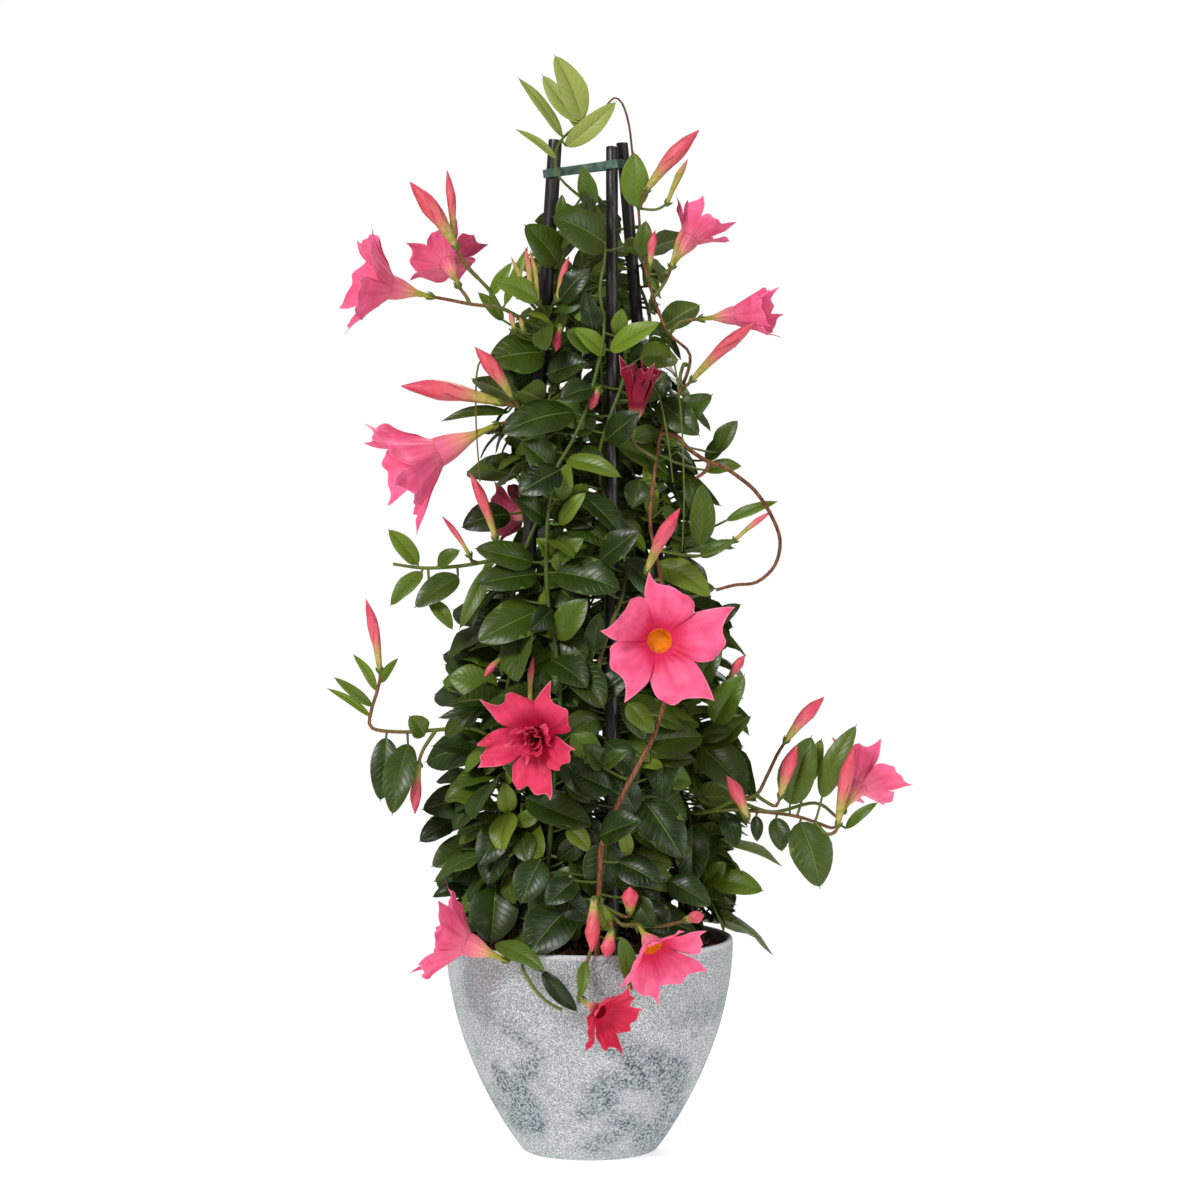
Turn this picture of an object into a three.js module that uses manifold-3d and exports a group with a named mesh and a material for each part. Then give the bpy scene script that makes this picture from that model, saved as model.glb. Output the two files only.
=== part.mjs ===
// Potted mandevilla, grown up a pyramid of three canes, in millimetres, +Z up.
// The origin is the middle of the pot's underside and the front of the plant faces -Y.
// Vines twine round the canes and carry opposite leaves; the flowers are hollow trumpets
// with five pinwheel petals, each seated on its own stalk.
import * as THREE from "three";
import { mergeVertices } from "three/addons/utils/BufferGeometryUtils.js";
import Module from "manifold-3d";

const wasm = await Module();
wasm.setup();

// ---------- driving dimensions ----------
const GAP = 0.3; // clearance between pieces that touch
const FINE = 0.005; // slivers narrower than this are closed up where solids join
const POT = { height: 156, foot: 48, rim: 104.4, belly: 0.88, wall: 4.2, floor: 7, sides: 32 };
const POT_RINGS = { outside: [0, 14, 40, 76, 116, 154], inside: 90, lip: 0.8 }; // heights, lip's round
const SOIL = { top: 147, mound: 4, crown: 60, stemDepth: 12 };
const CANE = { foot: 100, radius: 4.5, sides: 10 };
const CLIP = { z: 715, thick: 6, wall: 3, tilt: THREE.MathUtils.degToRad(8) };
const TWINE = { radius: 9.6, pitch: 150, stem: 2.3, tip: 1.4 };
const LEAF = { thick: 1.5, arch: 0.09, stalk: 1.0, stalked: 12, long: 40, stalkJoin: 3 };
const FLOWER = { width: 87, tubeRadius: 1.9, mouthRadius: 10.5, petalThick: 1.3, petalRoom: 0.69 };

// ---------- the front elevation ----------
// Routes and leaves are set out as a gardener would see them, on a picture 1200 steps
// square: u runs right, v runs down, and y is the real depth in millimetres.
const EYE = { x: 7.6, y: -3000, z: 565, aim: 401, lens: 4143, middle: 600 };
const PITCH = Math.atan((EYE.z - EYE.aim) / -EYE.y);

function place([u, v, y]) {
  const rise = (EYE.middle - v) / EYE.lens;
  const run = y - EYE.y;
  const up = (run * (rise * Math.cos(PITCH) - Math.sin(PITCH)))
    / (Math.cos(PITCH) + rise * Math.sin(PITCH));
  const depth = run * Math.cos(PITCH) - up * Math.sin(PITCH);
  return new THREE.Vector3(EYE.x + ((u - EYE.middle) * depth) / EYE.lens, y, EYE.z + up);
}

// ---------- small tools ----------
const mix = (a, b, t) => a + (b - a) * t;
const UP = new THREE.Vector3(0, 0, 1);

// A seeded draw, the same every time for the same seed.
function dice(seed) {
  let state = seed;
  return (low, high) => {
    state = (state * 16807) % 2147483647;
    return low + ((high - low) * state) / 2147483647;
  };
}

function unitAcross(direction, wish) {
  const across = wish.clone().addScaledVector(direction, -wish.dot(direction));
  if (across.lengthSq() < 1e-6) across.set(1, 0, 0).addScaledVector(direction, -direction.x);
  return across.normalize();
}

// A closed skin over rings of points; a ring of one point closes to a tip. The diagonals
// run alike on both faces, from the ring's even points to the next ring's odd ones.
function loft(rings) {
  const starts = [];
  let count = 0;
  for (const ring of rings) {
    starts.push(count);
    count += ring.length;
  }
  const faces = [];
  for (let i = 0; i + 1 < rings.length; i += 1) {
    const n = Math.max(rings[i].length, rings[i + 1].length);
    for (let j = 0; j < n; j += 1) {
      const k = (j + 1) % n;
      const a = starts[i] + (rings[i].length > 1 ? j : 0);
      const b = starts[i] + (rings[i].length > 1 ? k : 0);
      const c = starts[i + 1] + (rings[i + 1].length > 1 ? j : 0);
      const d = starts[i + 1] + (rings[i + 1].length > 1 ? k : 0);
      if (a === b) faces.push([a, d, c]);
      else if (c === d) faces.push([a, b, c]);
      else if (j % 2 === 0) faces.push([a, b, d], [a, d, c]);
      else faces.push([a, b, c], [b, d, c]);
    }
  }
  const last = rings.length - 1;
  for (let j = 1; j + 1 < rings[0].length; j += 1) faces.push([0, j + 1, j]);
  for (let j = 1; j + 1 < rings[last].length; j += 1) {
    faces.push([starts[last], starts[last] + j, starts[last] + j + 1]);
  }
  return new THREE.BufferGeometry()
    .setFromPoints(rings.flat())
    .setIndex(faces.flat());
}

function solidOf(geometry) {
  const bare = geometry.clone();
  bare.deleteAttribute("normal");
  bare.deleteAttribute("uv");
  const merged = mergeVertices(bare, 1e-4);
  const mesh = new wasm.Mesh({
    numProp: 3,
    vertProperties: merged.attributes.position.array,
    triVerts: new Uint32Array(merged.index.array),
  });
  const solid = new wasm.Manifold(mesh);
  if (solid.volume() >= 0) return solid;
  const turned = mesh.triVerts.slice();
  for (let i = 0; i < turned.length; i += 3) {
    turned[i] = mesh.triVerts[i + 1];
    turned[i + 1] = mesh.triVerts[i];
  }
  return new wasm.Manifold(
    new wasm.Mesh({ numProp: 3, vertProperties: mesh.vertProperties, triVerts: turned }),
  );
}

// The largest body of a join: loose scraps and sealed hollows are left behind.
function mainBody(solid) {
  return solid.decompose().sort((a, b) => b.volume() - a.volume())[0];
}

function geometryOf(solid) {
  const mesh = solid.getMesh();
  const geometry = new THREE.BufferGeometry();
  geometry.setAttribute("position", new THREE.BufferAttribute(mesh.vertProperties, 3));
  geometry.setIndex(new THREE.BufferAttribute(mesh.triVerts, 1));
  const flat = geometry.toNonIndexed();
  flat.computeVertexNormals();
  return flat;
}

// A round stem along a route, whose radius changes evenly from one end to the other.
function stem(route, first, last, sides = 4) {
  const rings = [];
  let across = null;
  route.forEach((point, i) => {
    const ahead = route[Math.min(i + 1, route.length - 1)];
    const behind = route[Math.max(i - 1, 0)];
    const along = ahead.clone().sub(behind).normalize();
    across = unitAcross(along, across || (Math.abs(along.z) < 0.9 ? UP : new THREE.Vector3(1, 0, 0)));
    const other = along.clone().cross(across);
    const radius = mix(first, last, i / (route.length - 1));
    const ring = [];
    for (let j = 0; j < sides; j += 1) {
      const angle = (2 * Math.PI * j) / sides;
      ring.push(point.clone()
        .addScaledVector(across, radius * Math.cos(angle))
        .addScaledVector(other, radius * Math.sin(angle)));
    }
    rings.push(ring);
  });
  return solidOf(loft(rings));
}

function nearestOn(route, point) {
  let best = null;
  let bestDistance = Infinity;
  const found = new THREE.Vector3();
  for (let i = 0; i + 1 < route.length; i += 1) {
    new THREE.Line3(route[i], route[i + 1]).closestPointToPoint(point, true, found);
    const distance = found.distanceTo(point);
    if (distance < bestDistance) {
      bestDistance = distance;
      best = found.clone();
    }
  }
  return { point: best, distance: bestDistance };
}

// ---------- pot ----------
function potRadius(z) {
  return POT.foot
    + (POT.rim - POT.foot) * Math.sin((Math.PI / 2) * Math.pow(z / POT.height, POT.belly));
}

function potSolid() {
  const outside = POT_RINGS.outside.map((z) => new THREE.Vector2(potRadius(z), z));
  const inner = POT_RINGS.inside;
  const profile = [
    new THREE.Vector2(0, 0),
    ...outside,
    new THREE.Vector2(POT.rim - POT_RINGS.lip, POT.height),
    new THREE.Vector2(POT.rim - POT.wall, POT.height),
    new THREE.Vector2(potRadius(inner) - POT.wall, inner),
    new THREE.Vector2(potRadius(POT.floor) - POT.wall - 3, POT.floor),
    new THREE.Vector2(0, POT.floor),
  ];
  return solidOf(new THREE.LatheGeometry(profile, POT.sides).rotateX(Math.PI / 2));
}

// ---------- canes ----------
const CANES = {
  cane_left: {
    foot: new THREE.Vector3(-62, -26, SOIL.top),
    top: new THREE.Vector3(-24.5, -8, 733),
    radius: 5.2,
  },
  cane_front: {
    foot: new THREE.Vector3(16.5, -74, SOIL.top),
    top: new THREE.Vector3(16.2, -8, 728),
    radius: CANE.radius,
  },
  cane_right: {
    foot: new THREE.Vector3(74, 30, SOIL.top),
    top: new THREE.Vector3(23.5, 11, 732),
    radius: CANE.radius,
  },
};

function onCane(cane, z) {
  const t = (z - cane.foot.z) / (cane.top.z - cane.foot.z);
  return cane.foot.clone().lerp(cane.top, t);
}

function caneSolid(cane, extra = 0) {
  const low = onCane(cane, CANE.foot - extra);
  const high = onCane(cane, cane.top.z + extra);
  return stem([low, high], cane.radius * 1.06 + extra, cane.radius * 0.96 + extra, CANE.sides);
}

// ---------- clip: three rings on a bridge, pushed over the cane tops ----------
function clipSolid() {
  const rings = Object.values(CANES).map((cane) => {
    const middle = onCane(cane, CLIP.z);
    return { x: middle.x, y: middle.y, radius: cane.radius + CLIP.wall };
  });
  const [left, front, right] = rings;
  const plate = (shape) => solidOf(
    new THREE.ExtrudeGeometry(shape, { depth: CLIP.thick, bevelEnabled: false, curveSegments: 3 }),
  );
  const disc = (ring) => plate(new THREE.Shape().absarc(ring.x, ring.y, ring.radius, 0, 2 * Math.PI));
  const bar = (from, to, half) => {
    const side = new THREE.Vector2(to.y - from.y, from.x - to.x).normalize().multiplyScalar(half);
    return plate(new THREE.Shape([
      new THREE.Vector2(from.x + side.x, from.y + side.y),
      new THREE.Vector2(from.x - side.x, from.y - side.y),
      new THREE.Vector2(to.x - side.x, to.y - side.y),
      new THREE.Vector2(to.x + side.x, to.y + side.y),
    ]));
  };
  const flat = wasm.Manifold.union([
    disc(left), disc(front), disc(right),
    bar(left, front, 2.6), bar(front, right, 4), bar(left, right, 2.2),
  ]);
  const tilt = new THREE.Matrix4().makeTranslation(16, 0, CLIP.z)
    .multiply(new THREE.Matrix4().makeRotationY(-CLIP.tilt))
    .multiply(new THREE.Matrix4().makeTranslation(-16, 0, -CLIP.thick / 2));
  const bores = Object.values(CANES).map((cane) => caneSolid(cane, GAP));
  return mainBody(flat.transform(tilt.elements).subtract(wasm.Manifold.union(bores)));
}

// ---------- vines ----------
// A vine twines round its cane like a screw thread, from the soil up to height z1.
function twine(cane, phase, z1, turns = TWINE.pitch) {
  const points = [];
  const low = SOIL.top - SOIL.stemDepth;
  const steps = Math.ceil((z1 - low) / 26);
  for (let i = 0; i <= steps; i += 1) {
    const z = mix(low, z1, i / steps);
    const angle = phase + (2 * Math.PI * (z - low)) / turns;
    const middle = onCane(cane, z);
    points.push(new THREE.Vector3(
      middle.x + TWINE.radius * Math.cos(angle),
      middle.y + TWINE.radius * Math.sin(angle),
      z,
    ));
  }
  return points;
}

// A vine that climbs free behind the canes, leaning in as the pyramid narrows.
function freeVine(bearing, reach, z1, sway) {
  const points = [];
  const low = SOIL.top - SOIL.stemDepth;
  const steps = 9;
  for (let i = 0; i <= steps; i += 1) {
    const t = i / steps;
    const angle = bearing + sway * Math.sin(5 * t);
    const radius = mix(reach, 11, Math.pow(t, 0.9));
    points.push(new THREE.Vector3(radius * Math.cos(angle), radius * Math.sin(angle), mix(low, z1, t)));
  }
  return points;
}

const MIDDLE_ROUTE = [
  [540, 976, -52], [544, 900, -56], [549, 850, -60], [553, 800, -62], [557, 750, -62],
  [560, 700, -60], [556, 650, -58], [549, 610, -56], [546, 560, -54], [549, 505, -52],
  [556, 470, -50], [570, 445, -48], [586, 410, -46], [598, 365, -43], [604, 330, -40],
  [600, 290, -36], [605, 255, -31], [601, 226, -28], [588, 204, -27], [572, 190, -28],
  [560, 178, -29], [555, 165, -29], [556, 150, -25], [563, 138, -17], [574, 128, -9],
  [583, 121, -5],
];
const RUNNER_ROUTE = [
  [596, 976, -90], [599, 900, -90], [602, 845, -88], [620, 800, -86], [640, 762, -80],
  [656, 730, -74], [668, 680, -66], [667, 620, -60], [658, 566, -55], [650, 520, -50],
  [655, 470, -42], [662, 428, -34], [680, 392, -28], [690, 355, -22], [668, 332, -19],
  [651, 290, -16], [642, 250, -12], [638, 203, -9], [633, 160, -6], [629, 125, -6],
  [622, 103, -7], [614, 98, -8], [607, 105, -9],
];

const VINES = {
  vine_left_a: { points: twine(CANES.cane_left, 4.2, 655), seed: 11, paired: true },
  vine_left_b: { points: twine(CANES.cane_left, 1.1, 560), seed: 12, paired: true },
  vine_front: { points: twine(CANES.cane_front, 0.4, 610), seed: 13 },
  vine_right_a: { points: twine(CANES.cane_right, 5.6, 690), seed: 14, paired: true },
  vine_right_b: { points: twine(CANES.cane_right, 2.5, 590), seed: 15, paired: true },
  vine_back_left: { points: freeVine(2.45, 58, 640, 0.25), seed: 16, paired: true },
  vine_back: { points: freeVine(1.75, 66, 680, -0.22), seed: 17, paired: true },
  vine_back_right: { points: freeVine(1.1, 60, 600, 0.2), seed: 18, paired: true },
  vine_middle: { points: MIDDLE_ROUTE.map(place), seed: 19, tip: 1.1 },
  vine_runner: { points: RUNNER_ROUTE.map(place), seed: 20, tip: 0.9 },
};

// ---------- side shoots ----------
// Each shoot leaves its vine at the point nearest its first route, and the later routes
// branch off that one. Its list of what it carries names the flower or bud at the end of
// each route.
const SHOOTS = {
  branch_high_left: {
    stems: [
      [[537, 326, -22], [515, 315, -28], [500, 308, -31], [470, 304, -32], [450, 300, -31]],
      [[470, 304, -32], [466, 296, -28]],
      [[500, 308, -31], [490, 291, -35], [478, 278, -38], [466, 264, -40]],
      [[478, 278, -38], [463, 262, -37]],
    ],
    carries: ["bloom_high_left", "bloom_high_left_back", "bud_high_left_a", "bud_high_left_b"],
  },
  branch_mid_left: {
    stems: [
      [[535, 414, -26], [520, 408, -34], [509, 404, -37]],
      [[520, 408, -34], [517, 403, -38]],
      [[535, 414, -26], [519, 419, -33], [508, 422, -35]],
    ],
    carries: ["bud_mid_left_a", "bud_mid_left_b", "bloom_mid_left"],
  },
  sprig_left: {
    stems: [
      [[518, 558, -26], [495, 560, -33], [460, 566, -37], [424, 568, -39], [393, 564, -40]],
      [[495, 560, -33], [497, 552, -36], [497, 546, -38]],
      [[478, 563, -35], [472, 561, -38]],
    ],
    carries: [null, "bud_left_a", "bud_left_b"],
  },
  sprig_low_left: {
    stems: [
      [[500, 742, -34], [472, 728, -40], [436, 730, -43], [402, 732, -44], [372, 728, -45],
        [371, 712, -45], [377, 692, -46], [380, 679, -46]],
      [[436, 730, -43], [424, 748, -48], [420, 758, -50]],
    ],
    carries: ["bud_low_left_a", "bud_low_left_b"],
  },
  tendril: {
    stems: [
      [[676, 436, -36], [690, 450, -38], [709, 462, -38], [722, 466, -38], [740, 478, -36],
        [756, 492, -34], [771, 515, -30], [780, 540, -28], [775, 565, -28], [757, 582, -30],
        [735, 585, -33], [716, 590, -35]],
      [[709, 462, -38], [706, 471, -41], [696, 478, -43]],
    ],
    carries: [null, null],
  },
  spray_right: {
    stems: [
      [[690, 812, -12], [712, 811, -24], [740, 810, -32], [790, 815, -38], [815, 822, -40],
        [832, 828, -40], [839, 823, -38]],
      [[712, 811, -24], [735, 800, -36], [756, 795, -40], [766, 778, -42], [777, 755, -44]],
      [[756, 795, -40], [768, 803, -46], [776, 806, -48]],
      [[740, 810, -32], [745, 819, -38], [748, 822, -40]],
      [[815, 822, -40], [826, 834, -46], [835, 832, -48]],
      [[735, 800, -36], [772, 812, -30], [815, 803, -22], [838, 818, -18]],
    ],
    carries: ["bloom_spray", "bud_spray_a", "bud_spray_b", "bud_spray_c", "bud_spray_d", null],
  },
  sprig_base_left: {
    stems: [
      [[528, 918, -48], [530, 932, -72], [524, 943, -92], [514, 955, -100]],
      [[530, 932, -72], [522, 962, -104], [531, 984, -110], [546, 1001, -112],
        [562, 1010, -113]],
    ],
    carries: ["bloom_base_left", null],
  },
  sprig_base_front: {
    stems: [
      [[602, 900, -94], [600, 915, -98], [594, 940, -106], [583, 975, -112], [579, 994, -114]],
      [[601, 905, -96], [618, 914, -98], [627, 917, -98]],
      [[601, 905, -96], [622, 925, -102], [632, 924, -104]],
      [[600, 915, -98], [610, 921, -107]],
      [[622, 925, -102], [660, 926, -96], [680, 922, -94]],
    ],
    carries: ["bloom_base_drop", "bud_base_a", "bloom_base_right", "bud_base_b", "bud_base_c"],
  },
};

// Stalks that spring straight from a vine, by what they carry.
const STALKS = {
  bloom_high_right_a: [[655, 296, -18], [661, 288, -17], [667, 278, -14]],
  bloom_high_right_b: [[672, 331, -22], [680, 322, -25], [690, 320, -26]],
  bud_high_right_long: [[684, 364, -26], [680, 378, -28], [684, 387, -32]],
  bud_high_right_a: [[640, 208, -12], [642, 200, -15]],
  bud_high_right_c: [[648, 280, -20]],
  bloom_wilted: [[650, 455, -48], [636, 446, -52]],
  bloom_centre: [[664, 640, -64], [656, 650, -70]],
  bud_centre: [[652, 580, -60]],
  bloom_centre_left: [[560, 712, -66], [556, 722, -74]],
  bloom_behind_leaf: [[538, 524, -6]],
  bud_right: [[700, 700, 8], [720, 690, -4]],
};

// ---------- flowers ----------
// base and mouth are the two ends of the tube; open is how far the petals spread from
// the tube's own line; width is across the open flower.
const PINK = 0xf0628f;
const ROSE = 0xe2365f;
const BLOOMS = {
  bloom_high_left: { base: [433, 297, -31], mouth: [386, 286, -38], open: 52, turn: 20 },
  bloom_high_left_back: { base: [460, 284, -26], mouth: [449, 254, -4], open: 82, turn: 50, width: 72 },
  bloom_high_right_a: { base: [671, 268, -10], mouth: [687, 228, 4], open: 55, turn: 0, width: 80 },
  bloom_high_right_b: { base: [699, 319, -27], mouth: [744, 315, -34], open: 42, turn: 10, width: 78 },
  bloom_mid_left: { base: [498, 424, -36], mouth: [436, 458, -46], open: 44, turn: 36 },
  bloom_behind_leaf: { base: [534, 520, 2], mouth: [515, 514, 22], open: 70, turn: 10, width: 60 },
  bloom_centre: { base: [656, 646, -76], mouth: [660, 640, -118], open: 84, turn: 56, width: 86 },
  bloom_centre_left: {
    base: [552, 726, -80], mouth: [535, 738, -118], open: 74, turn: 30, width: 76, colour: ROSE,
  },
  bloom_spray: { base: [842, 813, -34], mouth: [866, 782, -10], open: 76, turn: 12, width: 80 },
  bloom_base_left: { base: [508, 961, -103], mouth: [462, 942, -100], open: 58, turn: 0, width: 84 },
  bloom_base_right: { base: [638, 926, -107], mouth: [650, 948, -128], open: 66, turn: 18, width: 76 },
  bloom_base_drop: {
    base: [579, 998, -115], mouth: [603, 1014, -132], open: 68, turn: 40, width: 56, colour: ROSE,
  },
  bloom_wilted: {
    base: [632, 436, -52], mouth: [638, 398, -58], open: 14, turn: 0, width: 64, colour: ROSE,
  },
};

function bloomSolid(spec) {
  const base = place(spec.base);
  const mouth = place(spec.mouth);
  const along = mouth.clone().sub(base);
  const tube = along.length();
  along.normalize();
  const scale = (spec.width || FLOWER.width) / FLOWER.width;
  const first = unitAcross(along, UP);
  const second = along.clone().cross(first);
  const around = (angle) => first.clone().multiplyScalar(Math.cos(angle))
    .addScaledVector(second, Math.sin(angle));
  const sides = 6;
  const ring = (t, radius) => Array.from({ length: sides }, (_, j) => base.clone()
    .addScaledVector(along, t * tube)
    .addScaledVector(around((2 * Math.PI * j) / sides), radius));
  const wide = FLOWER.mouthRadius * scale;
  const trumpet = solidOf(loft([
    ring(0, FLOWER.tubeRadius), ring(0.34, FLOWER.tubeRadius * 1.3), ring(0.62, wide * 0.62),
    ring(1, wide), ring(1, wide - 1.3),
    [base.clone().addScaledVector(along, 0.42 * tube)],
  ]));
  const petals = [0, 1, 2, 3, 4].map((i) => {
    const angle = THREE.MathUtils.degToRad(spec.turn + 72 * i);
    return petalSolid(base, along, around(angle), tube, scale, spec.open);
  });
  return mainBody(wasm.Manifold.union([trumpet, ...petals]));
}

// One petal: narrow at the throat, then as broad as its neighbours leave room for, its outer
// edge cut aslant so that the corner on one side stands out as a point.
function petalSolid(base, along, outward, tube, scale, open) {
  const side = along.clone().cross(outward);
  const length = (FLOWER.width / 2 - 7) * scale;
  const rows = [
    { t: 0, left: 5.5, right: 5.5, skewL: 0, skewR: 0 },
    { t: 0.52, left: 18, right: 17, skewL: 2, skewR: 0 },
    { t: 0.92, left: 18, right: 13.5, skewL: 6, skewR: -3 },
  ];
  const point = base.clone().addScaledVector(along, tube * 0.9);
  let fromAxis = FLOWER.mouthRadius * scale * 0.82;
  point.addScaledVector(outward, fromAxis);
  let reached = 0;
  const rings = rows.map(({ t, left, right, skewL, skewR }) => {
    const lean = THREE.MathUtils.degToRad(open) * mix(0.55, 1.15, (t + reached) / 2);
    const ahead = along.clone().multiplyScalar(Math.cos(lean)).addScaledVector(outward, Math.sin(lean));
    point.addScaledVector(ahead, (t - reached) * length);
    fromAxis += (t - reached) * length * Math.sin(lean);
    reached = t;
    const over = ahead.clone().cross(side);
    const room = fromAxis * FLOWER.petalRoom;
    const corner = (across, skew) => point.clone()
      .addScaledVector(side, across).addScaledVector(ahead, skew * scale);
    return [
      corner(Math.min(left * scale, room), skewL),
      point.clone().addScaledVector(over, FLOWER.petalThick / 2),
      corner(-Math.min(right * scale, room), skewR),
      point.clone().addScaledVector(over, -FLOWER.petalThick / 2),
    ];
  });
  return solidOf(loft(rings));
}

// ---------- buds: furled spindles, from the stalk to the tip ----------
const BUDS = {
  bud_high_left_a: { base: [457, 248, -42], tip: [410, 182, -48], fat: 4.6 },
  bud_high_left_b: { base: [453, 240, -36], tip: [447, 170, -34], fat: 2.8 },
  bud_high_right_a: { base: [645, 192, -18], tip: [699, 130, -26], fat: 4.8 },
  bud_high_right_long: { base: [691, 381, -34], tip: [757, 321, -64], fat: 4.0 },
  bud_high_right_c: { base: [650, 268, -26], tip: [655, 230, -28], fat: 2.6 },
  bud_mid_left_a: { base: [502, 403, -38], tip: [401, 386, -44], fat: 5.0 },
  bud_mid_left_b: { base: [513, 398, -40], tip: [475, 347, -44], fat: 3.8 },
  bud_left_a: { base: [496, 540, -40], tip: [470, 473, -46], fat: 3.4 },
  bud_left_b: { base: [470, 556, -40], tip: [442, 516, -44], fat: 1.8 },
  bud_low_left_a: { base: [380, 672, -47], tip: [366, 599, -50], fat: 3.4 },
  bud_low_left_b: { base: [419, 763, -52], tip: [415, 814, -56], fat: 3.4 },
  bud_centre: { base: [646, 572, -64], tip: [680, 508, -74], fat: 4.4 },
  bud_spray_a: { base: [785, 742, -46], tip: [824, 697, -52], fat: 4.2 },
  bud_spray_b: { base: [780, 798, -51], tip: [797, 745, -58], fat: 4.2 },
  bud_spray_c: { base: [748, 818, -42], tip: [727, 776, -50], fat: 4.2 },
  bud_spray_d: { base: [838, 826, -50], tip: [855, 744, -60], fat: 4.4 },
  bud_base_a: { base: [630, 914, -101], tip: [630, 887, -106], fat: 5.0 },
  bud_base_b: { base: [612, 930, -112], tip: [606, 958, -118], fat: 4.4 },
  bud_base_c: { base: [684, 921, -96], tip: [704, 915, -102], fat: 3.8 },
  bud_right: { base: [728, 682, -10], tip: [745, 655, -14], fat: 3.0 },
};

function budSolid({ base, tip, fat }) {
  const low = place(base);
  const high = place(tip);
  const along = high.clone().sub(low).normalize();
  const first = unitAcross(along, UP);
  const second = along.clone().cross(first);
  const sides = 5;
  const ring = ([t, radius]) => Array.from({ length: sides }, (_, j) => low.clone().lerp(high, t)
    .addScaledVector(first, radius * Math.cos((2 * Math.PI * j) / sides))
    .addScaledVector(second, radius * Math.sin((2 * Math.PI * j) / sides)));
  const waist = [[0, 1.6], [0.3, 0.62 * fat], [0.62, fat], [0.86, 0.52 * fat]];
  return solidOf(loft([...waist.map(ring), [high]]));
}

// ---------- leaves ----------
// Leaves that show from the front, as base, tip, width in millimetres, how far the tip
// stands forward of the base, and how far the blade is rolled about its midrib.
const FRONT_LEAVES = [
  // top sprig
  [582, 120, 554, 54, 20, 8, 0], [580, 122, 540, 72, 14, 10, -20], [562, 136, 518, 77, 10, 0, 10],
  [556, 158, 516, 129, 6.5, 6, 0, -36], [566, 146, 617, 101, 15, 8, 35], [576, 127, 568, 103, 7, -6, 0],
  // upper
  [592, 208, 582, 166, 14, 8, 0], [588, 224, 584, 190, 11, 4, 20], [637, 207, 634, 151, 20, 10, 0],
  [558, 264, 524, 224, 26, 12, 0], [606, 244, 551, 216, 34, 14, -10], [560, 222, 562, 194, 8, 2, 0],
  [538, 300, 494, 282, 18, 6, 0, -46], [533, 330, 554, 302, 16, 8, 0], [503, 320, 478, 292, 10, 4, 0],
  [605, 354, 574, 328, 15, 12, 0], [610, 350, 660, 322, 17, 12, 0], [594, 336, 585, 290, 14, 6, 0],
  [618, 336, 622, 308, 12, 6, 0],
  // middle
  [543, 352, 488, 360, 34, 16, 0], [547, 374, 588, 362, 24, 12, 0], [574, 412, 500, 434, 28, 18, 0],
  [556, 472, 522, 442, 28, 14, 0], [566, 459, 622, 477, 15, 16, 0], [560, 500, 569, 462, 14, 12, 0],
  [552, 500, 546, 466, 13, 10, 0], [578, 492, 634, 552, 26, 16, 0], [560, 524, 586, 492, 12, 10, 0],
  [548, 520, 515, 498, 18, 12, 0], [510, 514, 461, 528, 24, 10, 0], [662, 472, 624, 438, 26, 12, 0],
  [652, 518, 644, 462, 11, 10, 0], [537, 574, 476, 584, 24, 16, 0], [556, 572, 622, 590, 30, 18, 0],
  [540, 610, 476, 642, 32, 20, 0], [552, 558, 536, 538, 12, 8, 0], [560, 560, 584, 538, 13, 10, 0],
  [556, 638, 588, 598, 22, 10, 0], [594, 652, 600, 612, 14, 6, 0], [550, 662, 556, 695, 16, 10, 0],
  [568, 664, 606, 712, 28, 16, 0], [628, 704, 654, 734, 16, 10, 0, -92], [655, 564, 712, 597, 21, 16, 0],
  // right
  [670, 428, 713, 394, 22, 8, 0], [706, 460, 731, 432, 12, 6, 0], [700, 545, 702, 482, 18, 6, 0],
  [727, 520, 778, 501, 9, 4, 0], [706, 553, 760, 547, 8, 4, 0], [690, 480, 692, 514, 9, 6, 0],
  [716, 624, 741, 604, 12, 4, 0], [714, 724, 745, 674, 22, 8, 0], [700, 736, 733, 732, 15, 8, 0],
  [722, 742, 751, 716, 14, 6, 0], [700, 746, 748, 797, 30, 16, 0], [712, 752, 765, 762, 24, 10, 0],
  [664, 748, 662, 800, 22, 14, 0], [688, 750, 692, 795, 15, 8, 0], [644, 800, 684, 860, 30, 18, 0],
  [724, 812, 737, 848, 15, 6, 0], [712, 880, 764, 891, 20, 10, 0], [704, 884, 726, 862, 16, 6, 0],
  // left
  [500, 703, 447, 687, 14, 8, 0], [496, 713, 438, 718, 11, 6, 0], [480, 752, 431, 746, 12, 8, 0],
  [494, 744, 457, 725, 15, 8, 0], [482, 800, 421, 810, 28, 14, 0], [496, 806, 450, 797, 15, 18, 0],
  [508, 813, 504, 782, 14, 8, 0], [454, 820, 419, 842, 18, 8, 0], [476, 840, 431, 867, 22, 10, 0],
  [488, 854, 452, 881, 20, 8, 0], [510, 824, 478, 866, 24, 14, 0], [526, 798, 594, 826, 26, 18, 0],
  [512, 828, 588, 856, 26, 20, 0], [568, 828, 590, 852, 14, 8, 0],
  // foot
  [496, 887, 491, 946, 34, 14, 0], [568, 908, 528, 956, 35, 18, 0], [638, 897, 662, 942, 24, 10, 0, -98],
];

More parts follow.
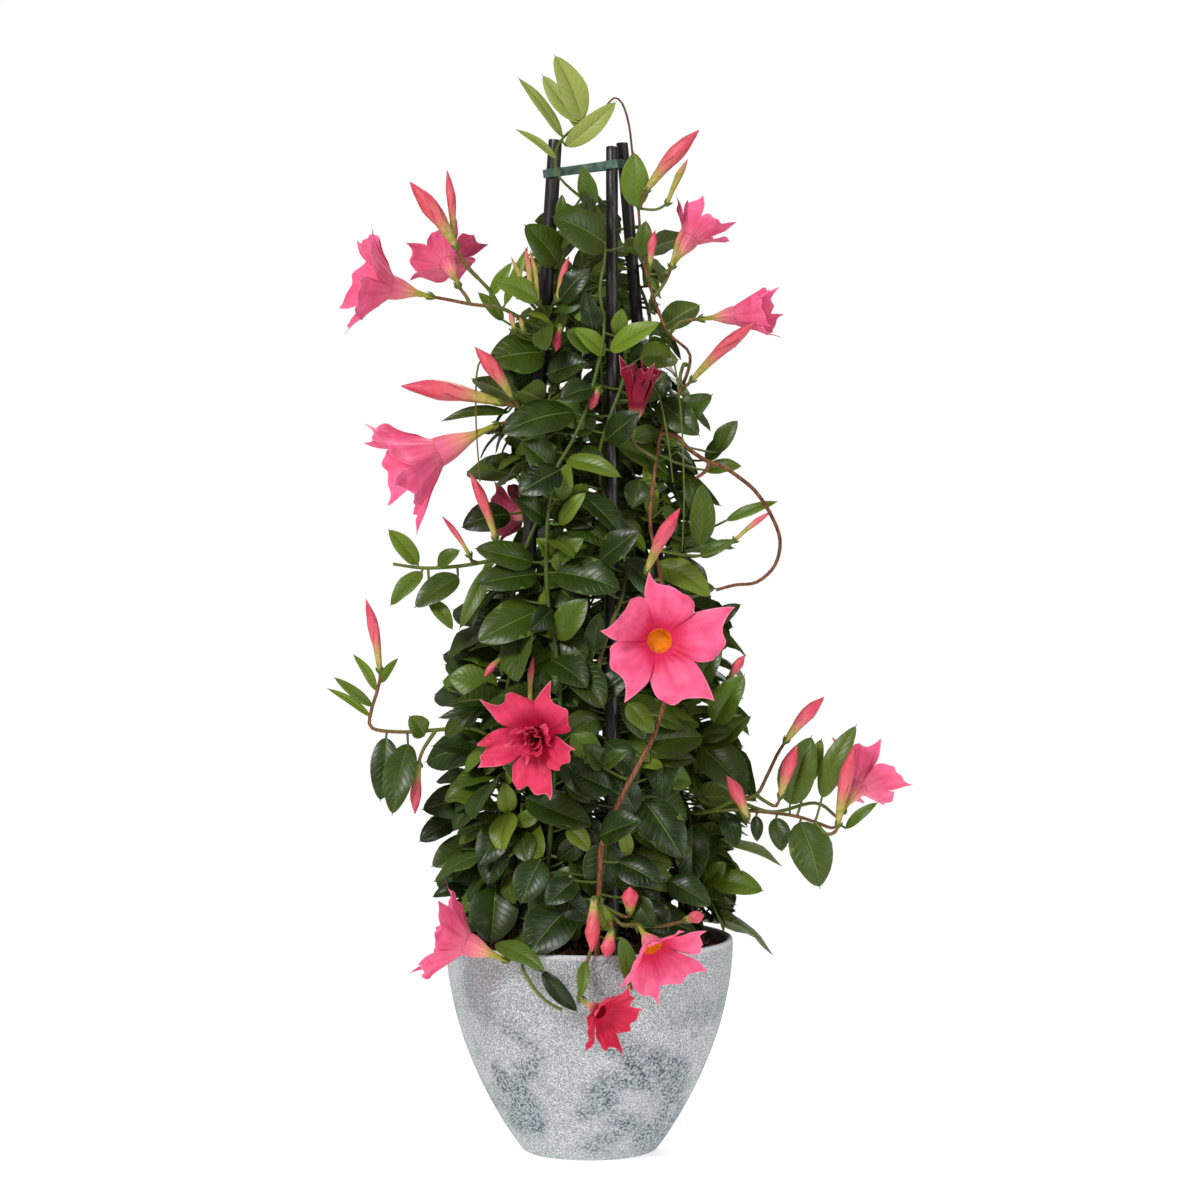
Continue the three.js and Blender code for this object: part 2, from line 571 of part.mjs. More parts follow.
// Leaves on the side shoots, with the depth of their base.
const SHOOT_LEAVES = {
  branch_mid_left: [[508, 412, 441, 421, 9, 4, 0, -31]],
  sprig_left: [
    [390, 563, 340, 573, 17, 4, 0, -40], [387, 556, 364, 529, 10, 2, 0, -40],
    [418, 564, 388, 529, 14, 6, 0, -40], [422, 572, 390, 606, 13, 6, 0, -40],
    [438, 565, 460, 550, 12, 4, 0, -38], [458, 576, 414, 608, 20, 12, 0, -38],
    [430, 600, 453, 630, 11, 6, 0, -42], [490, 566, 459, 630, 12, 14, 0, -36],
  ],
  sprig_low_left: [
    [376, 690, 353, 654, 7, 2, 0, -46], [381, 682, 398, 658, 7, 2, 0, -46],
    [372, 706, 334, 677, 8, 4, 0, -46], [370, 716, 327, 688, 6, 8, 0, -46],
    [386, 738, 380, 802, 20, 6, 0, -46], [408, 744, 392, 816, 22, 14, 0, -46],
    [424, 736, 409, 716, 16, 6, 0, -46], [446, 736, 470, 712, 12, 6, 0, -44],
  ],
  branch_high_left: [
    [490, 296, 512, 262, 9, 2, 0, -34], [505, 304, 528, 246, 8, 4, 0, -32],
  ],
  spray_right: [
    [790, 804, 812, 735, 26, 6, 0, -42], [806, 784, 822, 738, 13, 2, 0, -34],
    [822, 797, 857, 724, 17, 6, 0, -44], [800, 822, 820, 889, 30, 8, 0, -42],
    [776, 818, 782, 852, 15, 6, 0, -42], [756, 816, 757, 842, 9, 4, 0, -40],
    [846, 828, 878, 802, 8, 4, 0, -46],
  ],
  sprig_base_left: [
    [496, 944, 545, 971, 15, 30, 0, -96], [543, 972, 578, 1012, 12, 3, 20, -114],
  ],
  sprig_base_front: [
    [585, 962, 580, 998, 9, 4, 0, -112], [610, 930, 596, 902, 10, 4, 0, -104],
    [622, 938, 632, 992, 12, 2, 0, -112],
  ],
};

const STEM_CONE = { foot: 84, top: 20 }; // how far out the canes and vines stand
function stemDepth(u, v) {
  const { x, z } = place([u, v, -40]);
  const t = (z - SOIL.top) / (CANES.cane_front.top.z - SOIL.top);
  const radius = mix(STEM_CONE.foot, STEM_CONE.top, Math.min(1, Math.max(0, t)));
  return -Math.sqrt(Math.max(64, radius * radius - x * x)) - 4;
}

function leafOutline(t) { // 1 where the blade is broadest, just below its middle
  return Math.pow(Math.sin(Math.PI * Math.pow(t, 0.82)), 0.62);
}

// A leaf blade from base to tip, with its stalk sunk in the stem at root. Its section has
// two edges and a keel under the midrib, and the blade is arched over along its length. The
// stalk's sections face the way the stalk runs, so that it stays whole where the blade turns back.
function leafSolid({ root, base, tip, width, face }) {
  const along = tip.clone().sub(base);
  const length = along.length();
  along.normalize();
  const over = unitAcross(along, face);
  const side = along.clone().cross(over);
  const section = (point, half, thick, rise, heading = along) => {
    const turn = new THREE.Quaternion().setFromUnitVectors(along, heading);
    const [across, up] = [side, over].map((axis) => axis.clone().applyQuaternion(turn));
    return [
      point.clone().addScaledVector(across, half).addScaledVector(up, rise),
      point.clone().addScaledVector(across, -half).addScaledVector(up, rise),
      point.clone().addScaledVector(up, rise - thick),
    ];
  };
  const outward = base.clone().sub(root).normalize();
  const sunk = root.clone().addScaledVector(outward, LEAF.stalk);
  const stalked = root.distanceTo(base) > LEAF.stalked;
  const stalk = [LEAF.stalk, 2 * LEAF.stalk, LEAF.stalk];
  const rings = [section(sunk, ...stalk, stalked ? outward : along)];
  if (stalked) rings.push(section(base, ...stalk, outward.clone().add(along).normalize()));
  for (const t of stalked && length > LEAF.long ? [0.2, 0.47, 0.77] : [0.3, 0.7]) {
    const middle = base.clone().addScaledVector(along, t * length)
      .addScaledVector(over, LEAF.arch * length * Math.sin(Math.PI * t));
    rings.push(section(middle, (width / 2) * leafOutline(t) * 1.05, LEAF.thick, 0));
  }
  rings.push([tip]);
  return solidOf(loft(rings));
}

// ---------- what stands where ----------
const placed = []; // every solid so far, with the node it belongs to
function keep(node, solid, leaf = false) {
  placed.push({ node, solid, leaf, box: solid.boundingBox() });
}

function boxesMeet(a, b) {
  return [0, 1, 2].every((i) => a.min[i] <= b.max[i] + GAP && b.min[i] <= a.max[i] + GAP);
}

// A leaf is clear when it touches nothing of another node, and of its own node only the
// stem it grows from and the stalks beside it.
function isClear(node, whole) {
  const box = whole.boundingBox();
  return placed.every((other) => {
    if (!boxesMeet(box, other.box)) return true;
    if (other.node !== node) return whole.minGap(other.solid, GAP) >= GAP;
    return !other.leaf || whole.intersect(other.solid).volume() < LEAF.stalkJoin;
  });
}

keep("pot", potSolid());
for (const [name, cane] of Object.entries(CANES)) keep(name, caneSolid(cane));
keep("clip", clipSolid());
keep("soil", soilSolid());

const routes = {}; // what leaves can grow from
for (const [name, vine] of Object.entries(VINES)) {
  routes[name] = vine.points;
  keep(name, stem(vine.points, TWINE.stem, vine.tip || TWINE.tip));
}

const carried = { ...BLOOMS, ...BUDS };
// The flat end under a flower or bud, and the block of air that is kept above it.
function seatOf(name) {
  const base = place(carried[name].base);
  const far = place(carried[name].mouth || carried[name].tip).sub(base).normalize();
  const above = [base.clone().addScaledVector(far, -GAP), base.clone().addScaledVector(far, 6)];
  return { base, air: stem(above, 4, 4) };
}

for (const [name, points] of Object.entries(STALKS)) {
  const route = points.map(place);
  const { name: vine, point } = nearestRoute(route[0], Object.keys(VINES));
  const { base, air } = seatOf(name);
  keep(vine, stem([point, ...route, base], 1.5, 1.2).subtract(air));
}

for (const [name, shoot] of Object.entries(SHOOTS)) {
  const { name: from } = nearestRoute(place(shoot.stems[0][0]), Object.keys(VINES));
  const cuts = [stem(routes[from], TWINE.stem + GAP, (VINES[from].tip || TWINE.tip) + GAP)];
  const lengths = shoot.stems.map((points, i) => {
    const route = points.map(place);
    if (i === 0) route.unshift(nearestOn(routes[from], route[0]).point);
    if (shoot.carries[i]) {
      const { base, air } = seatOf(shoot.carries[i]);
      route.push(base);
      cuts.push(air);
    }
    return route;
  });
  routes[name] = lengths[0];
  const joined = wasm.Manifold.union(lengths.map((route) => stem(route, 1.6, 1.15)));
  keep(name, mainBody(joined.subtract(wasm.Manifold.union(cuts))));
}

for (const [name, spec] of Object.entries(BLOOMS)) keep(name, bloomSolid(spec));
for (const [name, spec] of Object.entries(BUDS)) keep(name, budSolid(spec));

// ---------- leaves on the vines and shoots ----------
function growLeaf(node, leaf) {
  const whole = leafSolid(leaf);
  if (!isClear(node, whole)) return false;
  keep(node, whole, true);
  return true;
}

function turned(vector, axis, degrees) {
  return vector.clone().applyAxisAngle(axis, THREE.MathUtils.degToRad(degrees));
}

// A leaf that shows keeps its place; where it would cross another it is leant, rolled or
// made smaller until it is clear.
const NUDGES = [
  [0, 0, 1], [7, 0, 1], [-7, 0, 1], [14, 12, 1], [-14, -12, 1], [21, 0, 0.95], [-21, 0, 0.95],
  [8, 25, 0.88], [-8, -25, 0.88], [28, 10, 0.8], [-24, -10, 0.8], [0, 35, 0.7], [14, -35, 0.7],
];
function nearestRoute(point, names) {
  return names.map((name) => ({ name, ...nearestOn(routes[name], point) }))
    .sort((a, b) => a.distance - b.distance)[0];
}

function growFrontLeaf([u0, v0, u1, v1, width, lean, roll, depth], names) {
  const y = depth === undefined ? stemDepth(u0, v0) : depth;
  const base = place([u0, v0, y]);
  const { name, point: root } = nearestRoute(base, names);
  NUDGES.some(([push, twist, size]) => {
    const tip = place([u1, v1, y - lean - push]).sub(base).multiplyScalar(size).add(base);
    const along = tip.clone().sub(base).normalize();
    const face = turned(unitAcross(along, new THREE.Vector3(0, -0.85, 0.55)), along, roll + twist);
    return growLeaf(name, { root, base, tip, width: width * size, face });
  });
}

const climbers = Object.keys(VINES);
for (const leaf of FRONT_LEAVES) growFrontLeaf(leaf, climbers);
for (const [name, leaves] of Object.entries(SHOOT_LEAVES)) {
  for (const leaf of leaves) growFrontLeaf(leaf, [name]);
}

// The other leaves come in opposite pairs up each vine, every pair turned a quarter round
// from the one below; they lean out to the light and droop to their tips.
const PAIRS = { apart: 58, first: 30, stalk: 11 };
function growPairs(name, { seed }) {
  const route = routes[name];
  let walked = 0;
  let next = PAIRS.first;
  let pair = 0;
  for (let i = 0; i + 1 < route.length; i += 1) {
    const step = route[i].distanceTo(route[i + 1]);
    while (walked + step > next) {
      const root = route[i].clone().lerp(route[i + 1], (next - walked) / step);
      for (const side of [-1, 1]) {
        growPairLeaf(name, root, pair, side, seed * 100 + pair * 2 + side);
      }
      pair += 1;
      next += PAIRS.apart;
    }
    walked += step;
  }
}

function growPairLeaf(name, root, pair, side, seed) {
  const draw = dice(seed * 7919);
  draw(0, 1);
  const height = (root.z - SOIL.top) / (CANES.cane_front.top.z - SOIL.top);
  const out = new THREE.Vector3(root.x, root.y, 0).normalize();
  const sideways = new THREE.Vector3(-out.y, out.x, 0);
  for (let attempt = 0; attempt < 9; attempt += 1) {
    const swing = THREE.MathUtils.degToRad(side * (pair % 2 ? draw(8, 40) : draw(45, 95)));
    const drop = THREE.MathUtils.degToRad(draw(-42, mix(8, 34, height)));
    const size = (1 - 0.04 * attempt) * draw(0.86, 1.12) * mix(1, 0.62, Math.max(0, height));
    const flatways = out.clone().multiplyScalar(Math.cos(swing))
      .addScaledVector(sideways, Math.sin(swing));
    const along = flatways.clone().multiplyScalar(Math.cos(drop))
      .addScaledVector(UP, Math.sin(drop));
    const base = root.clone().addScaledVector(flatways, PAIRS.stalk * 0.9).addScaledVector(UP, 4);
    const tip = base.clone().addScaledVector(along, 60 * size);
    const face = out.clone().multiplyScalar(0.75).addScaledVector(UP, 0.7);
    const towardsFront = -out.y > 0.72 && height < 0.9;
    if (towardsFront && tip.y < root.y - 32) continue;
    if (growLeaf(name, { root, base, tip, width: 34 * size, face })) return;
  }
}
for (const [name, vine] of Object.entries(VINES)) {
  if (vine.paired) growPairs(name, vine);
}

// ---------- soil, with a plain hole for every cane and stem ----------
function soilSolid() {
  const inside = (z) => potRadius(z) - POT.wall - GAP;
  const low = POT.floor + GAP;
  const middle = POT_RINGS.inside;
  const profile = [
    new THREE.Vector2(0, low),
    new THREE.Vector2(inside(low) - 3, low),
    new THREE.Vector2(inside(middle) - 1, middle),
    new THREE.Vector2(inside(SOIL.top) - 1, SOIL.top),
    new THREE.Vector2(SOIL.crown, SOIL.top + SOIL.mound * 0.7),
    new THREE.Vector2(0, SOIL.top + SOIL.mound),
  ];
  const bed = solidOf(new THREE.LatheGeometry(profile, POT.sides).rotateX(Math.PI / 2));
  const holes = Object.values(CANES).map((cane) => caneSolid(cane, GAP));
  for (const vine of Object.values(VINES)) {
    const foot = vine.points.slice(0, 3);
    const below = foot[0].clone().add(foot[0].clone().sub(foot[1]).setLength(1));
    holes.push(stem([below, ...foot], TWINE.stem + 2 * GAP, TWINE.stem + 2 * GAP));
  }
  return mainBody(bed.subtract(wasm.Manifold.union(holes)));
}

// ---------- the plant ----------
const PAINT = {
  pot: { color: 0xc4ccd0, roughness: 0.85 },
  soil: { color: 0x3a2a20, roughness: 1 },
  cane: { color: 0x262122, roughness: 0.45 },
  clip: { color: 0x4c665a, roughness: 0.5 },
  vine: { color: 0x34522a, roughness: 0.4 },
  shoot: { color: 0x4b6b30, roughness: 0.4 },
  tendril: { color: 0x5a3a26, roughness: 0.5 },
  bud: { color: 0xd8505f, roughness: 0.5 },
  bloom: { color: PINK, roughness: 0.55 },
};

function paintOf(name) {
  if (BLOOMS[name]) return { ...PAINT.bloom, color: BLOOMS[name].colour || PINK };
  if (BUDS[name]) return PAINT.bud;
  if (name === "tendril") return PAINT.tendril;
  if (SHOOTS[name]) return PAINT.shoot;
  return PAINT[name.split("_")[0]];
}

const plant = new THREE.Group();
for (const name of new Set(placed.map((piece) => piece.node))) {
  const solids = placed.filter((piece) => piece.node === name).map((piece) => piece.solid);
  const mesh = new THREE.Mesh(
    geometryOf(mainBody(wasm.Manifold.union(solids)).simplify(FINE)),
    new THREE.MeshStandardMaterial({ ...paintOf(name), metalness: 0 }),
  );
  mesh.name = name;
  plant.add(mesh);
}

export default plant;
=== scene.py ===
import math

import bpy
import numpy as np
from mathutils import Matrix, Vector
from mathutils.bvhtree import BVHTree
from mathutils.kdtree import KDTree


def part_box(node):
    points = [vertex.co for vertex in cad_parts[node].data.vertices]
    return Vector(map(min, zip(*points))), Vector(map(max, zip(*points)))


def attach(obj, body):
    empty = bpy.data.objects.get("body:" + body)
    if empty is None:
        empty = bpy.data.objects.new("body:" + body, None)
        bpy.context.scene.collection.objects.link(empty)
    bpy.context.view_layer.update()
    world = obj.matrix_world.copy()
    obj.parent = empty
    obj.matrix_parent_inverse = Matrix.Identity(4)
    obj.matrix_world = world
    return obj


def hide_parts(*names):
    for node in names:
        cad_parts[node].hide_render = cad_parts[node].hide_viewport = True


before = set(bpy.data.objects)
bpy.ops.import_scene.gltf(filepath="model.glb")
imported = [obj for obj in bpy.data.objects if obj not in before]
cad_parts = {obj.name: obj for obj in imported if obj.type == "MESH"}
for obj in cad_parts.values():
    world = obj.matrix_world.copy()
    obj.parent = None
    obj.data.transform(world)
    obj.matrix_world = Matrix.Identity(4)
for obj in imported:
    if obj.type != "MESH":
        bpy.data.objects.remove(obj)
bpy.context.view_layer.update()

# ---------- the studio ----------
# A pale floor under plain soft light. The camera stands in front of the plant, a little
# above its middle. Lengths in this script are millimetres, made metres in each mesh.
MM = 0.001
PICTURE = 1200  # steps across the square front elevation
EYE_X, EYE_Y, EYE_Z = 7.6, -3000.0, 565.0
AIM_Z = 401.0
LENS = 4143.0  # in steps of the picture
SENSOR = 36.0

camera = bpy.data.objects.new("camera", bpy.data.cameras.new("camera"))
camera.data.sensor_width = SENSOR
camera.data.lens = LENS * SENSOR / PICTURE
camera.location = Vector((EYE_X, EYE_Y, EYE_Z)) * MM
camera.rotation_euler = Vector((0, -EYE_Y, AIM_Z - EYE_Z)).to_track_quat("-Z", "Y").to_euler()
bpy.context.collection.objects.link(camera)
bpy.context.scene.camera = camera
bpy.context.scene.view_settings.view_transform = "Standard"

LAMPS = {  # place in metres, side in metres, watts
    "lamp_key": ((-1.4, -2.0, 2.0), 0.9, 62),
    "lamp_fill": ((1.9, -1.8, 1.0), 1.4, 20),
    "lamp_back": ((0.6, 1.8, 1.9), 1.2, 30),
}
for name, (spot, side, watts) in LAMPS.items():
    lamp = bpy.data.objects.new(name, bpy.data.lights.new(name, "AREA"))
    lamp.data.size = side
    lamp.data.energy = watts
    lamp.location = spot
    lamp.rotation_euler = (Vector((0, 0, 0.4)) - Vector(spot)).to_track_quat("-Z", "Y").to_euler()
    bpy.context.collection.objects.link(lamp)

# The sky is white to look at, and dimmer as a light, as a white wall behind black screens.
SKY_SEEN, SKY_LIGHT = 1.02, 0.28
world = bpy.data.worlds.new("sky")
bpy.context.scene.world = world
world.use_nodes = True
sky = world.node_tree.nodes["Background"]
sky.inputs["Color"].default_value = (1.0, 1.0, 1.0, 1.0)
path = world.node_tree.nodes.new("ShaderNodeLightPath")
level = world.node_tree.nodes.new("ShaderNodeMix")
level.inputs[2].default_value = SKY_LIGHT
level.inputs[3].default_value = SKY_SEEN
world.node_tree.links.new(path.outputs["Is Camera Ray"], level.inputs[0])
world.node_tree.links.new(level.outputs[0], sky.inputs["Strength"])

FLOOR_REACH, FLOOR_GLOW = 0.8, 0.5  # half the floor's side in metres, and the light it gives
FLOOR_DROP = 0.4  # how far the floor lies under the pot's foot
floor_mesh = bpy.data.meshes.new("floor")
corners = [(x * FLOOR_REACH, y * FLOOR_REACH, -FLOOR_DROP * MM)
           for x, y in ((-1, -1), (1, -1), (1, 1), (-1, 1))]
floor_mesh.from_pydata(corners, [], [(0, 1, 2, 3)])
floor_paint = bpy.data.materials.new("floor_paint")
floor_paint.use_nodes = True
floor_shader = floor_paint.node_tree.nodes["Principled BSDF"].inputs
floor_shader["Base Color"].default_value = (0.93, 0.93, 0.93, 1)
floor_shader["Roughness"].default_value = 0.9
floor_shader["Emission Color"].default_value = (1, 1, 1, 1)
floor_shader["Emission Strength"].default_value = FLOOR_GLOW
floor_mesh.materials.append(floor_paint)
floor = bpy.data.objects.new("floor", floor_mesh)
bpy.context.collection.objects.link(floor)


# ---------- pot ----------
# A round planter cast in a light stone-and-resin mix, with a thin lip. Its skin is pale
# grey, grained all over, with darker blue-grey blotches in the lower half.
POT_HEIGHT, POT_FOOT, POT_RIM, POT_BELLY = 156.0, 48.0, 104.4, 0.88
POT_WALL, POT_FLOOR, POT_LIP = 4.2, 7.0, 0.8


class Wire:
    """A shader socket that takes part in sums like a number."""

    def __init__(self, finish, socket):
        self.finish = finish
        self.socket = socket

    def math(self, operation, *others):
        return self.finish.add("Math", {"operation": operation}, dict(enumerate((self, *others))))

    def __add__(self, other):
        return self.math("ADD", other)

    def __mul__(self, other):
        return self.math("MULTIPLY", other)

    def __sub__(self, other):
        return self.math("SUBTRACT", other)

    def rise(self, low, high):
        """0 up to low and 1 from high on, smooth between them; low may be the larger."""
        return self.finish.add("MapRange", {"interpolation_type": "SMOOTHSTEP"},
                               {"Value": self, "From Min": low, "From Max": high})


class Finish:
    """A material, with the wires that vary it over the surface."""

    def __init__(self, name, **fixed):
        self.material = bpy.data.materials.new(name)
        self.material.use_nodes = True
        self.tree = self.material.node_tree
        self.shader = self.tree.nodes["Principled BSDF"]
        self.spot = self.add("TexCoord", None, None, "Object")
        for socket, value in fixed.items():
            label = socket.replace("_", " ").title().replace("Ior", "IOR")
            self.shader.inputs[label].default_value = value

    def add(self, kind, settings=None, sockets=None, out=0):
        node = self.tree.nodes.new("ShaderNode" + kind)
        for key, value in (settings or {}).items():
            setattr(node, key, value)
        for key, value in (sockets or {}).items():
            if isinstance(value, Wire):
                self.tree.links.new(value.socket, node.inputs[key])
            else:
                node.inputs[key].default_value = value
        return Wire(self, node.outputs[out])

    def noise(self, size, detail):
        """Soft cloudy noise whose blobs are about size millimetres."""
        return self.add("TexNoise", None, {"Vector": self.spot, "Scale": 1 / (size * MM), "Detail": detail})

    def streaks(self, across, upwards, detail):
        """Noise drawn out upwards; both scales are in blobs a metre."""
        spot = self.add("Mapping", None, {"Vector": self.spot, "Scale": (across, across, upwards)})
        return self.add("TexNoise", None, {"Vector": spot, "Scale": 1.0, "Detail": detail})

    def mix(self, share, first, second):
        return self.add("Mix", {"data_type": "RGBA"}, {0: share, 6: first, 7: second}, 2)

    def marks(self):
        """The four numbers that each point of a mesh carries."""
        colour = self.add("Attribute", {"attribute_name": "mark"}, None, "Color")
        parts = [self.add("SeparateColor", None, {"Color": colour}, k) for k in range(3)]
        return [*parts, self.add("Attribute", {"attribute_name": "mark"}, None, "Alpha")]

    def feed(self, socket, wire):
        self.tree.links.new(wire.socket, self.shader.inputs[socket])

    def relief(self, height, depth):
        self.feed("Normal", self.add("Bump", None, {"Height": height, "Distance": depth * MM}))


def tint(red, green, blue):
    """A screen colour, 0 to 255, as the light it stands for."""
    def light(step):
        share = step / 255
        return share / 12.92 if share <= 0.04045 else ((share + 0.055) / 1.055) ** 2.4
    return (light(red), light(green), light(blue), 1.0)


class Shape:
    """Points, faces and marks that gather into one piece."""

    def __init__(self):
        self.points = []
        self.marks = []
        self.faces = []
        self.skins = []
        self.count = 0

    def add(self, points, faces, mark=(0, 0, 0, 0), skin=0):
        points = np.asarray(points, float).reshape(-1, 3)
        mark = np.broadcast_to(np.asarray(mark, float), (len(points), 4))
        self.points.append(points)
        self.marks.append(mark)
        self.faces += [tuple(corner + self.count for corner in face) for face in faces]
        self.skins += skin if isinstance(skin, list) else [skin] * len(faces)
        self.count += len(points)

    def piece(self, name, *finishes, crease=50):
        mesh = bpy.data.meshes.new(name)
        mesh.from_pydata((np.concatenate(self.points) * MM).tolist(), [], self.faces)
        mark = mesh.attributes.new("mark", "FLOAT_COLOR", "POINT")
        mark.data.foreach_set("color", np.concatenate(self.marks).ravel())
        mesh.polygons.foreach_set("material_index", self.skins)
        mesh.shade_smooth()
        mesh.set_sharp_from_angle(angle=math.radians(crease))
        for finish in finishes:
            mesh.materials.append(finish.material)
        thing = bpy.data.objects.new(name, mesh)
        bpy.context.collection.objects.link(thing)
        return thing


def ring_faces(rows, around, caps=True):
    """Quads of a skin of rows closed round, each row `around` points, with flat ends."""
    faces = []
    for row in range(rows - 1):
        for k in range(around):
            a = row * around + k
            b = row * around + (k + 1) % around
            faces.append((a, b, b + around, a + around))
    if caps:
        faces.append(tuple(range(around - 1, -1, -1)))
        faces.append(tuple(range((rows - 1) * around, rows * around)))
    return faces


def round_angles(around):
    return 2 * np.pi * np.arange(around) / around


def turned_skin(profile, around):
    """A profile of (radius, height) turned about the upright axis."""
    rows = [[(r * np.cos(a), r * np.sin(a), z) for a in round_angles(around)] for r, z in profile]
    return np.array(rows).reshape(-1, 3)


def pot_radius(z):
    share = (max(z, 0) / POT_HEIGHT) ** POT_BELLY
    return POT_FOOT + (POT_RIM - POT_FOOT) * math.sin(math.pi / 2 * share)


POT_AROUND = 144
profile = [(POT_FOOT * 0.2, 0.9), (POT_FOOT - 7, 0.9), (POT_FOOT - 5, 0), (POT_FOOT - 1.2, 0),
           (pot_radius(1.2), 1.2)]
profile += [(pot_radius(z), z) for z in np.linspace(4, 151, 34)]
profile += [(POT_RIM - 0.05, 153.6), (POT_RIM - POT_LIP, 155.4), (POT_RIM - 2.1, 156),
            (POT_RIM - 3.6, 155.5), (POT_RIM - POT_WALL, 154)]
profile += [(pot_radius(z) - POT_WALL, z) for z in np.linspace(150, 20, 12)]
profile += [(pot_radius(POT_FLOOR) - POT_WALL - 3, POT_FLOOR), (6, POT_FLOOR)]
pot = Shape()
pot.add(turned_skin(profile, POT_AROUND), ring_faces(len(profile), POT_AROUND))

stone = Finish("cast_stone", roughness=0.85, specular_ior_level=0.3)
height = stone.add("SeparateXYZ", None, {"Vector": stone.spot}, "Z")
grain = stone.noise(0.9, 1.0).rise(0.36, 0.64)
speck = stone.noise(1.2, 1.0).rise(0.52, 0.60)
fleck = stone.noise(1.8, 3.0).rise(0.50, 0.57)
patch = stone.noise(34, 3.0).rise(0.42, 0.64) * height.rise(0.145, 0.085) * height.rise(-0.03, 0.03)
cloud = stone.noise(60, 2.0).rise(0.3, 0.75)
pale = stone.mix(grain, tint(134, 142, 145), tint(230, 233, 233))
pale = stone.mix(speck * 0.5, pale, tint(114, 123, 128))
pale = stone.mix(cloud * 0.2, pale, tint(198, 204, 206))
pale = stone.mix(patch * 0.4, pale, tint(142, 152, 158))
blotched = stone.mix(fleck * (patch * 0.84 + 0.08), pale, tint(66, 78, 88))
lip = height.rise(0.1515, 0.1545) * 0.8
stone.feed("Base Color", stone.mix(lip, blotched, tint(224, 227, 228)))
stone.relief(grain * 0.7 + speck * -0.5 + fleck * patch * -0.5, 0.4)

stone_pot = pot.piece("stone_pot", stone, crease=35)
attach(stone_pot, "root")
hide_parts("pot")


# ---------- potting soil ----------
# Peat and composted bark, filled to a thumb below the rim and a little heaped. It is loose
# crumbs, so the bed has a rough top with bark chips lying on it.
SOIL_TOP, SOIL_MOUND = 147.0, 4.0
CHIPS = 900
DICE_STEP, DICE_PRIME = 16807, 2147483647


def dice(seed):
    """A seeded draw, the same every time for the same seed."""
    state = [seed]

    def draw(low=0.0, high=1.0):
        state[0] = state[0] * DICE_STEP % DICE_PRIME
        return low + (high - low) * state[0] / DICE_PRIME
    return draw


def unit(vector):
    return vector / np.linalg.norm(vector)


def across(direction, wish):
    """The part of wish that stands square to direction."""
    square = np.asarray(wish, float) - direction * np.dot(direction, wish)
    if np.dot(square, square) < 1e-6:
        square = np.array([1.0, 0, 0]) - direction * direction[0]
    return unit(square)


UP = np.array([0.0, 0.0, 1.0])

soil = Shape()
draw = dice(71)
edge = pot_radius(SOIL_TOP) - POT_WALL - 0.5
bed_around, bed_rings = 120, 44
bed = [(pot_radius(POT_FLOOR) - POT_WALL - 3.6, POT_FLOOR + 0.3),
       (pot_radius(60) - POT_WALL - 0.8, 60), (pot_radius(120) - POT_WALL - 0.6, 120)]
bed += [(edge * r, SOIL_TOP + SOIL_MOUND * (1 - r * r)) for r in np.linspace(1, 0.02, bed_rings)]
skin = turned_skin(bed, bed_around).reshape(-1, bed_around, 3)
crumbs = np.array([[draw(-1.0, 1.0) for _ in range(bed_around)] for _ in range(bed_rings - 1)])
skin[4:, :, 2] += crumbs * np.linspace(1.6, 0.7, bed_rings - 1)[:, None]
soil.add(skin, ring_faces(len(bed), bed_around), (0.1, 0.4, 0, 0))
for _ in range(CHIPS):
    radius = (edge - 4) * math.sqrt(draw(0.02, 1))
    bearing = draw(0, 2 * math.pi)
    spot = np.array([radius * math.cos(bearing), radius * math.sin(bearing),
                     SOIL_TOP + SOIL_MOUND * (1 - (radius / edge) ** 2) + draw(0.2, 1.8)])
    long = unit(np.array([draw(-1, 1), draw(-1, 1), draw(-0.5, 0.5)]) + 1e-3)
    flat = across(long, [draw(-0.6, 0.6), draw(-0.6, 0.6), 1])
    wide = np.cross(long, flat)
    size = draw(0.25, 1) ** 2
    half = (1.0 + 4.2 * size, 0.8 + 1.6 * size, 0.5 + 0.9 * size)
    corners = [spot + long * half[0] * i * draw(0.7, 1.1) + wide * half[1] * j * draw(0.6, 1.1)
               + flat * half[2] * k * draw(0.6, 1.1)
               for i, j, k in ((-1, -1, -1), (1, -1, -1), (1, 1, -1), (-1, 1, -1),
                               (-1, -1, 1), (1, -1, 1), (1, 1, 1), (-1, 1, 1))]
    box = [(0, 3, 2, 1), (4, 5, 6, 7), (0, 1, 5, 4), (1, 2, 6, 5), (2, 3, 7, 6), (3, 0, 4, 7)]
    soil.add(corners, box, (draw(0, 1) ** 2, draw(0, 1), 1, 0))

peat = Finish("peat_and_bark", roughness=0.9)
lightness, hue, _, _ = peat.marks()
crumb = peat.noise(2.2, 3.0)
dark = peat.mix(crumb.rise(0.35, 0.7), tint(44, 26, 18), tint(104, 70, 52))
barky = peat.mix(hue, tint(150, 104, 76), tint(196, 166, 136))
peat.feed("Base Color", peat.mix(lightness * 0.8, dark, barky))
peat.relief(peat.noise(1.4, 3.0), 0.8)

bark_soil = soil.piece("bark_soil", peat, crease=30)
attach(bark_soil, "root")
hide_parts("soil")


# ---------- canes ----------
# Three near-black plant canes, smooth and satin, pushed into the soil near the rim and
# leaning together at the top. The left one is a little thicker.
CANE_FOOT = 100.0
CANE_STOUT, CANE_TAPER, CANE_SWELL = 1.06, 0.10, 0.025  # shares of its radius
CANES = {
    "cane_left": ((-62.0, -26.0, 147.0), (-24.5, -8.0, 733.0), 5.2),
    "cane_front": ((16.5, -74.0, 147.0), (16.2, -8.0, 728.0), 4.5),
    "cane_right": ((74.0, 30.0, 147.0), (23.5, 11.0, 732.0), 4.5),
}


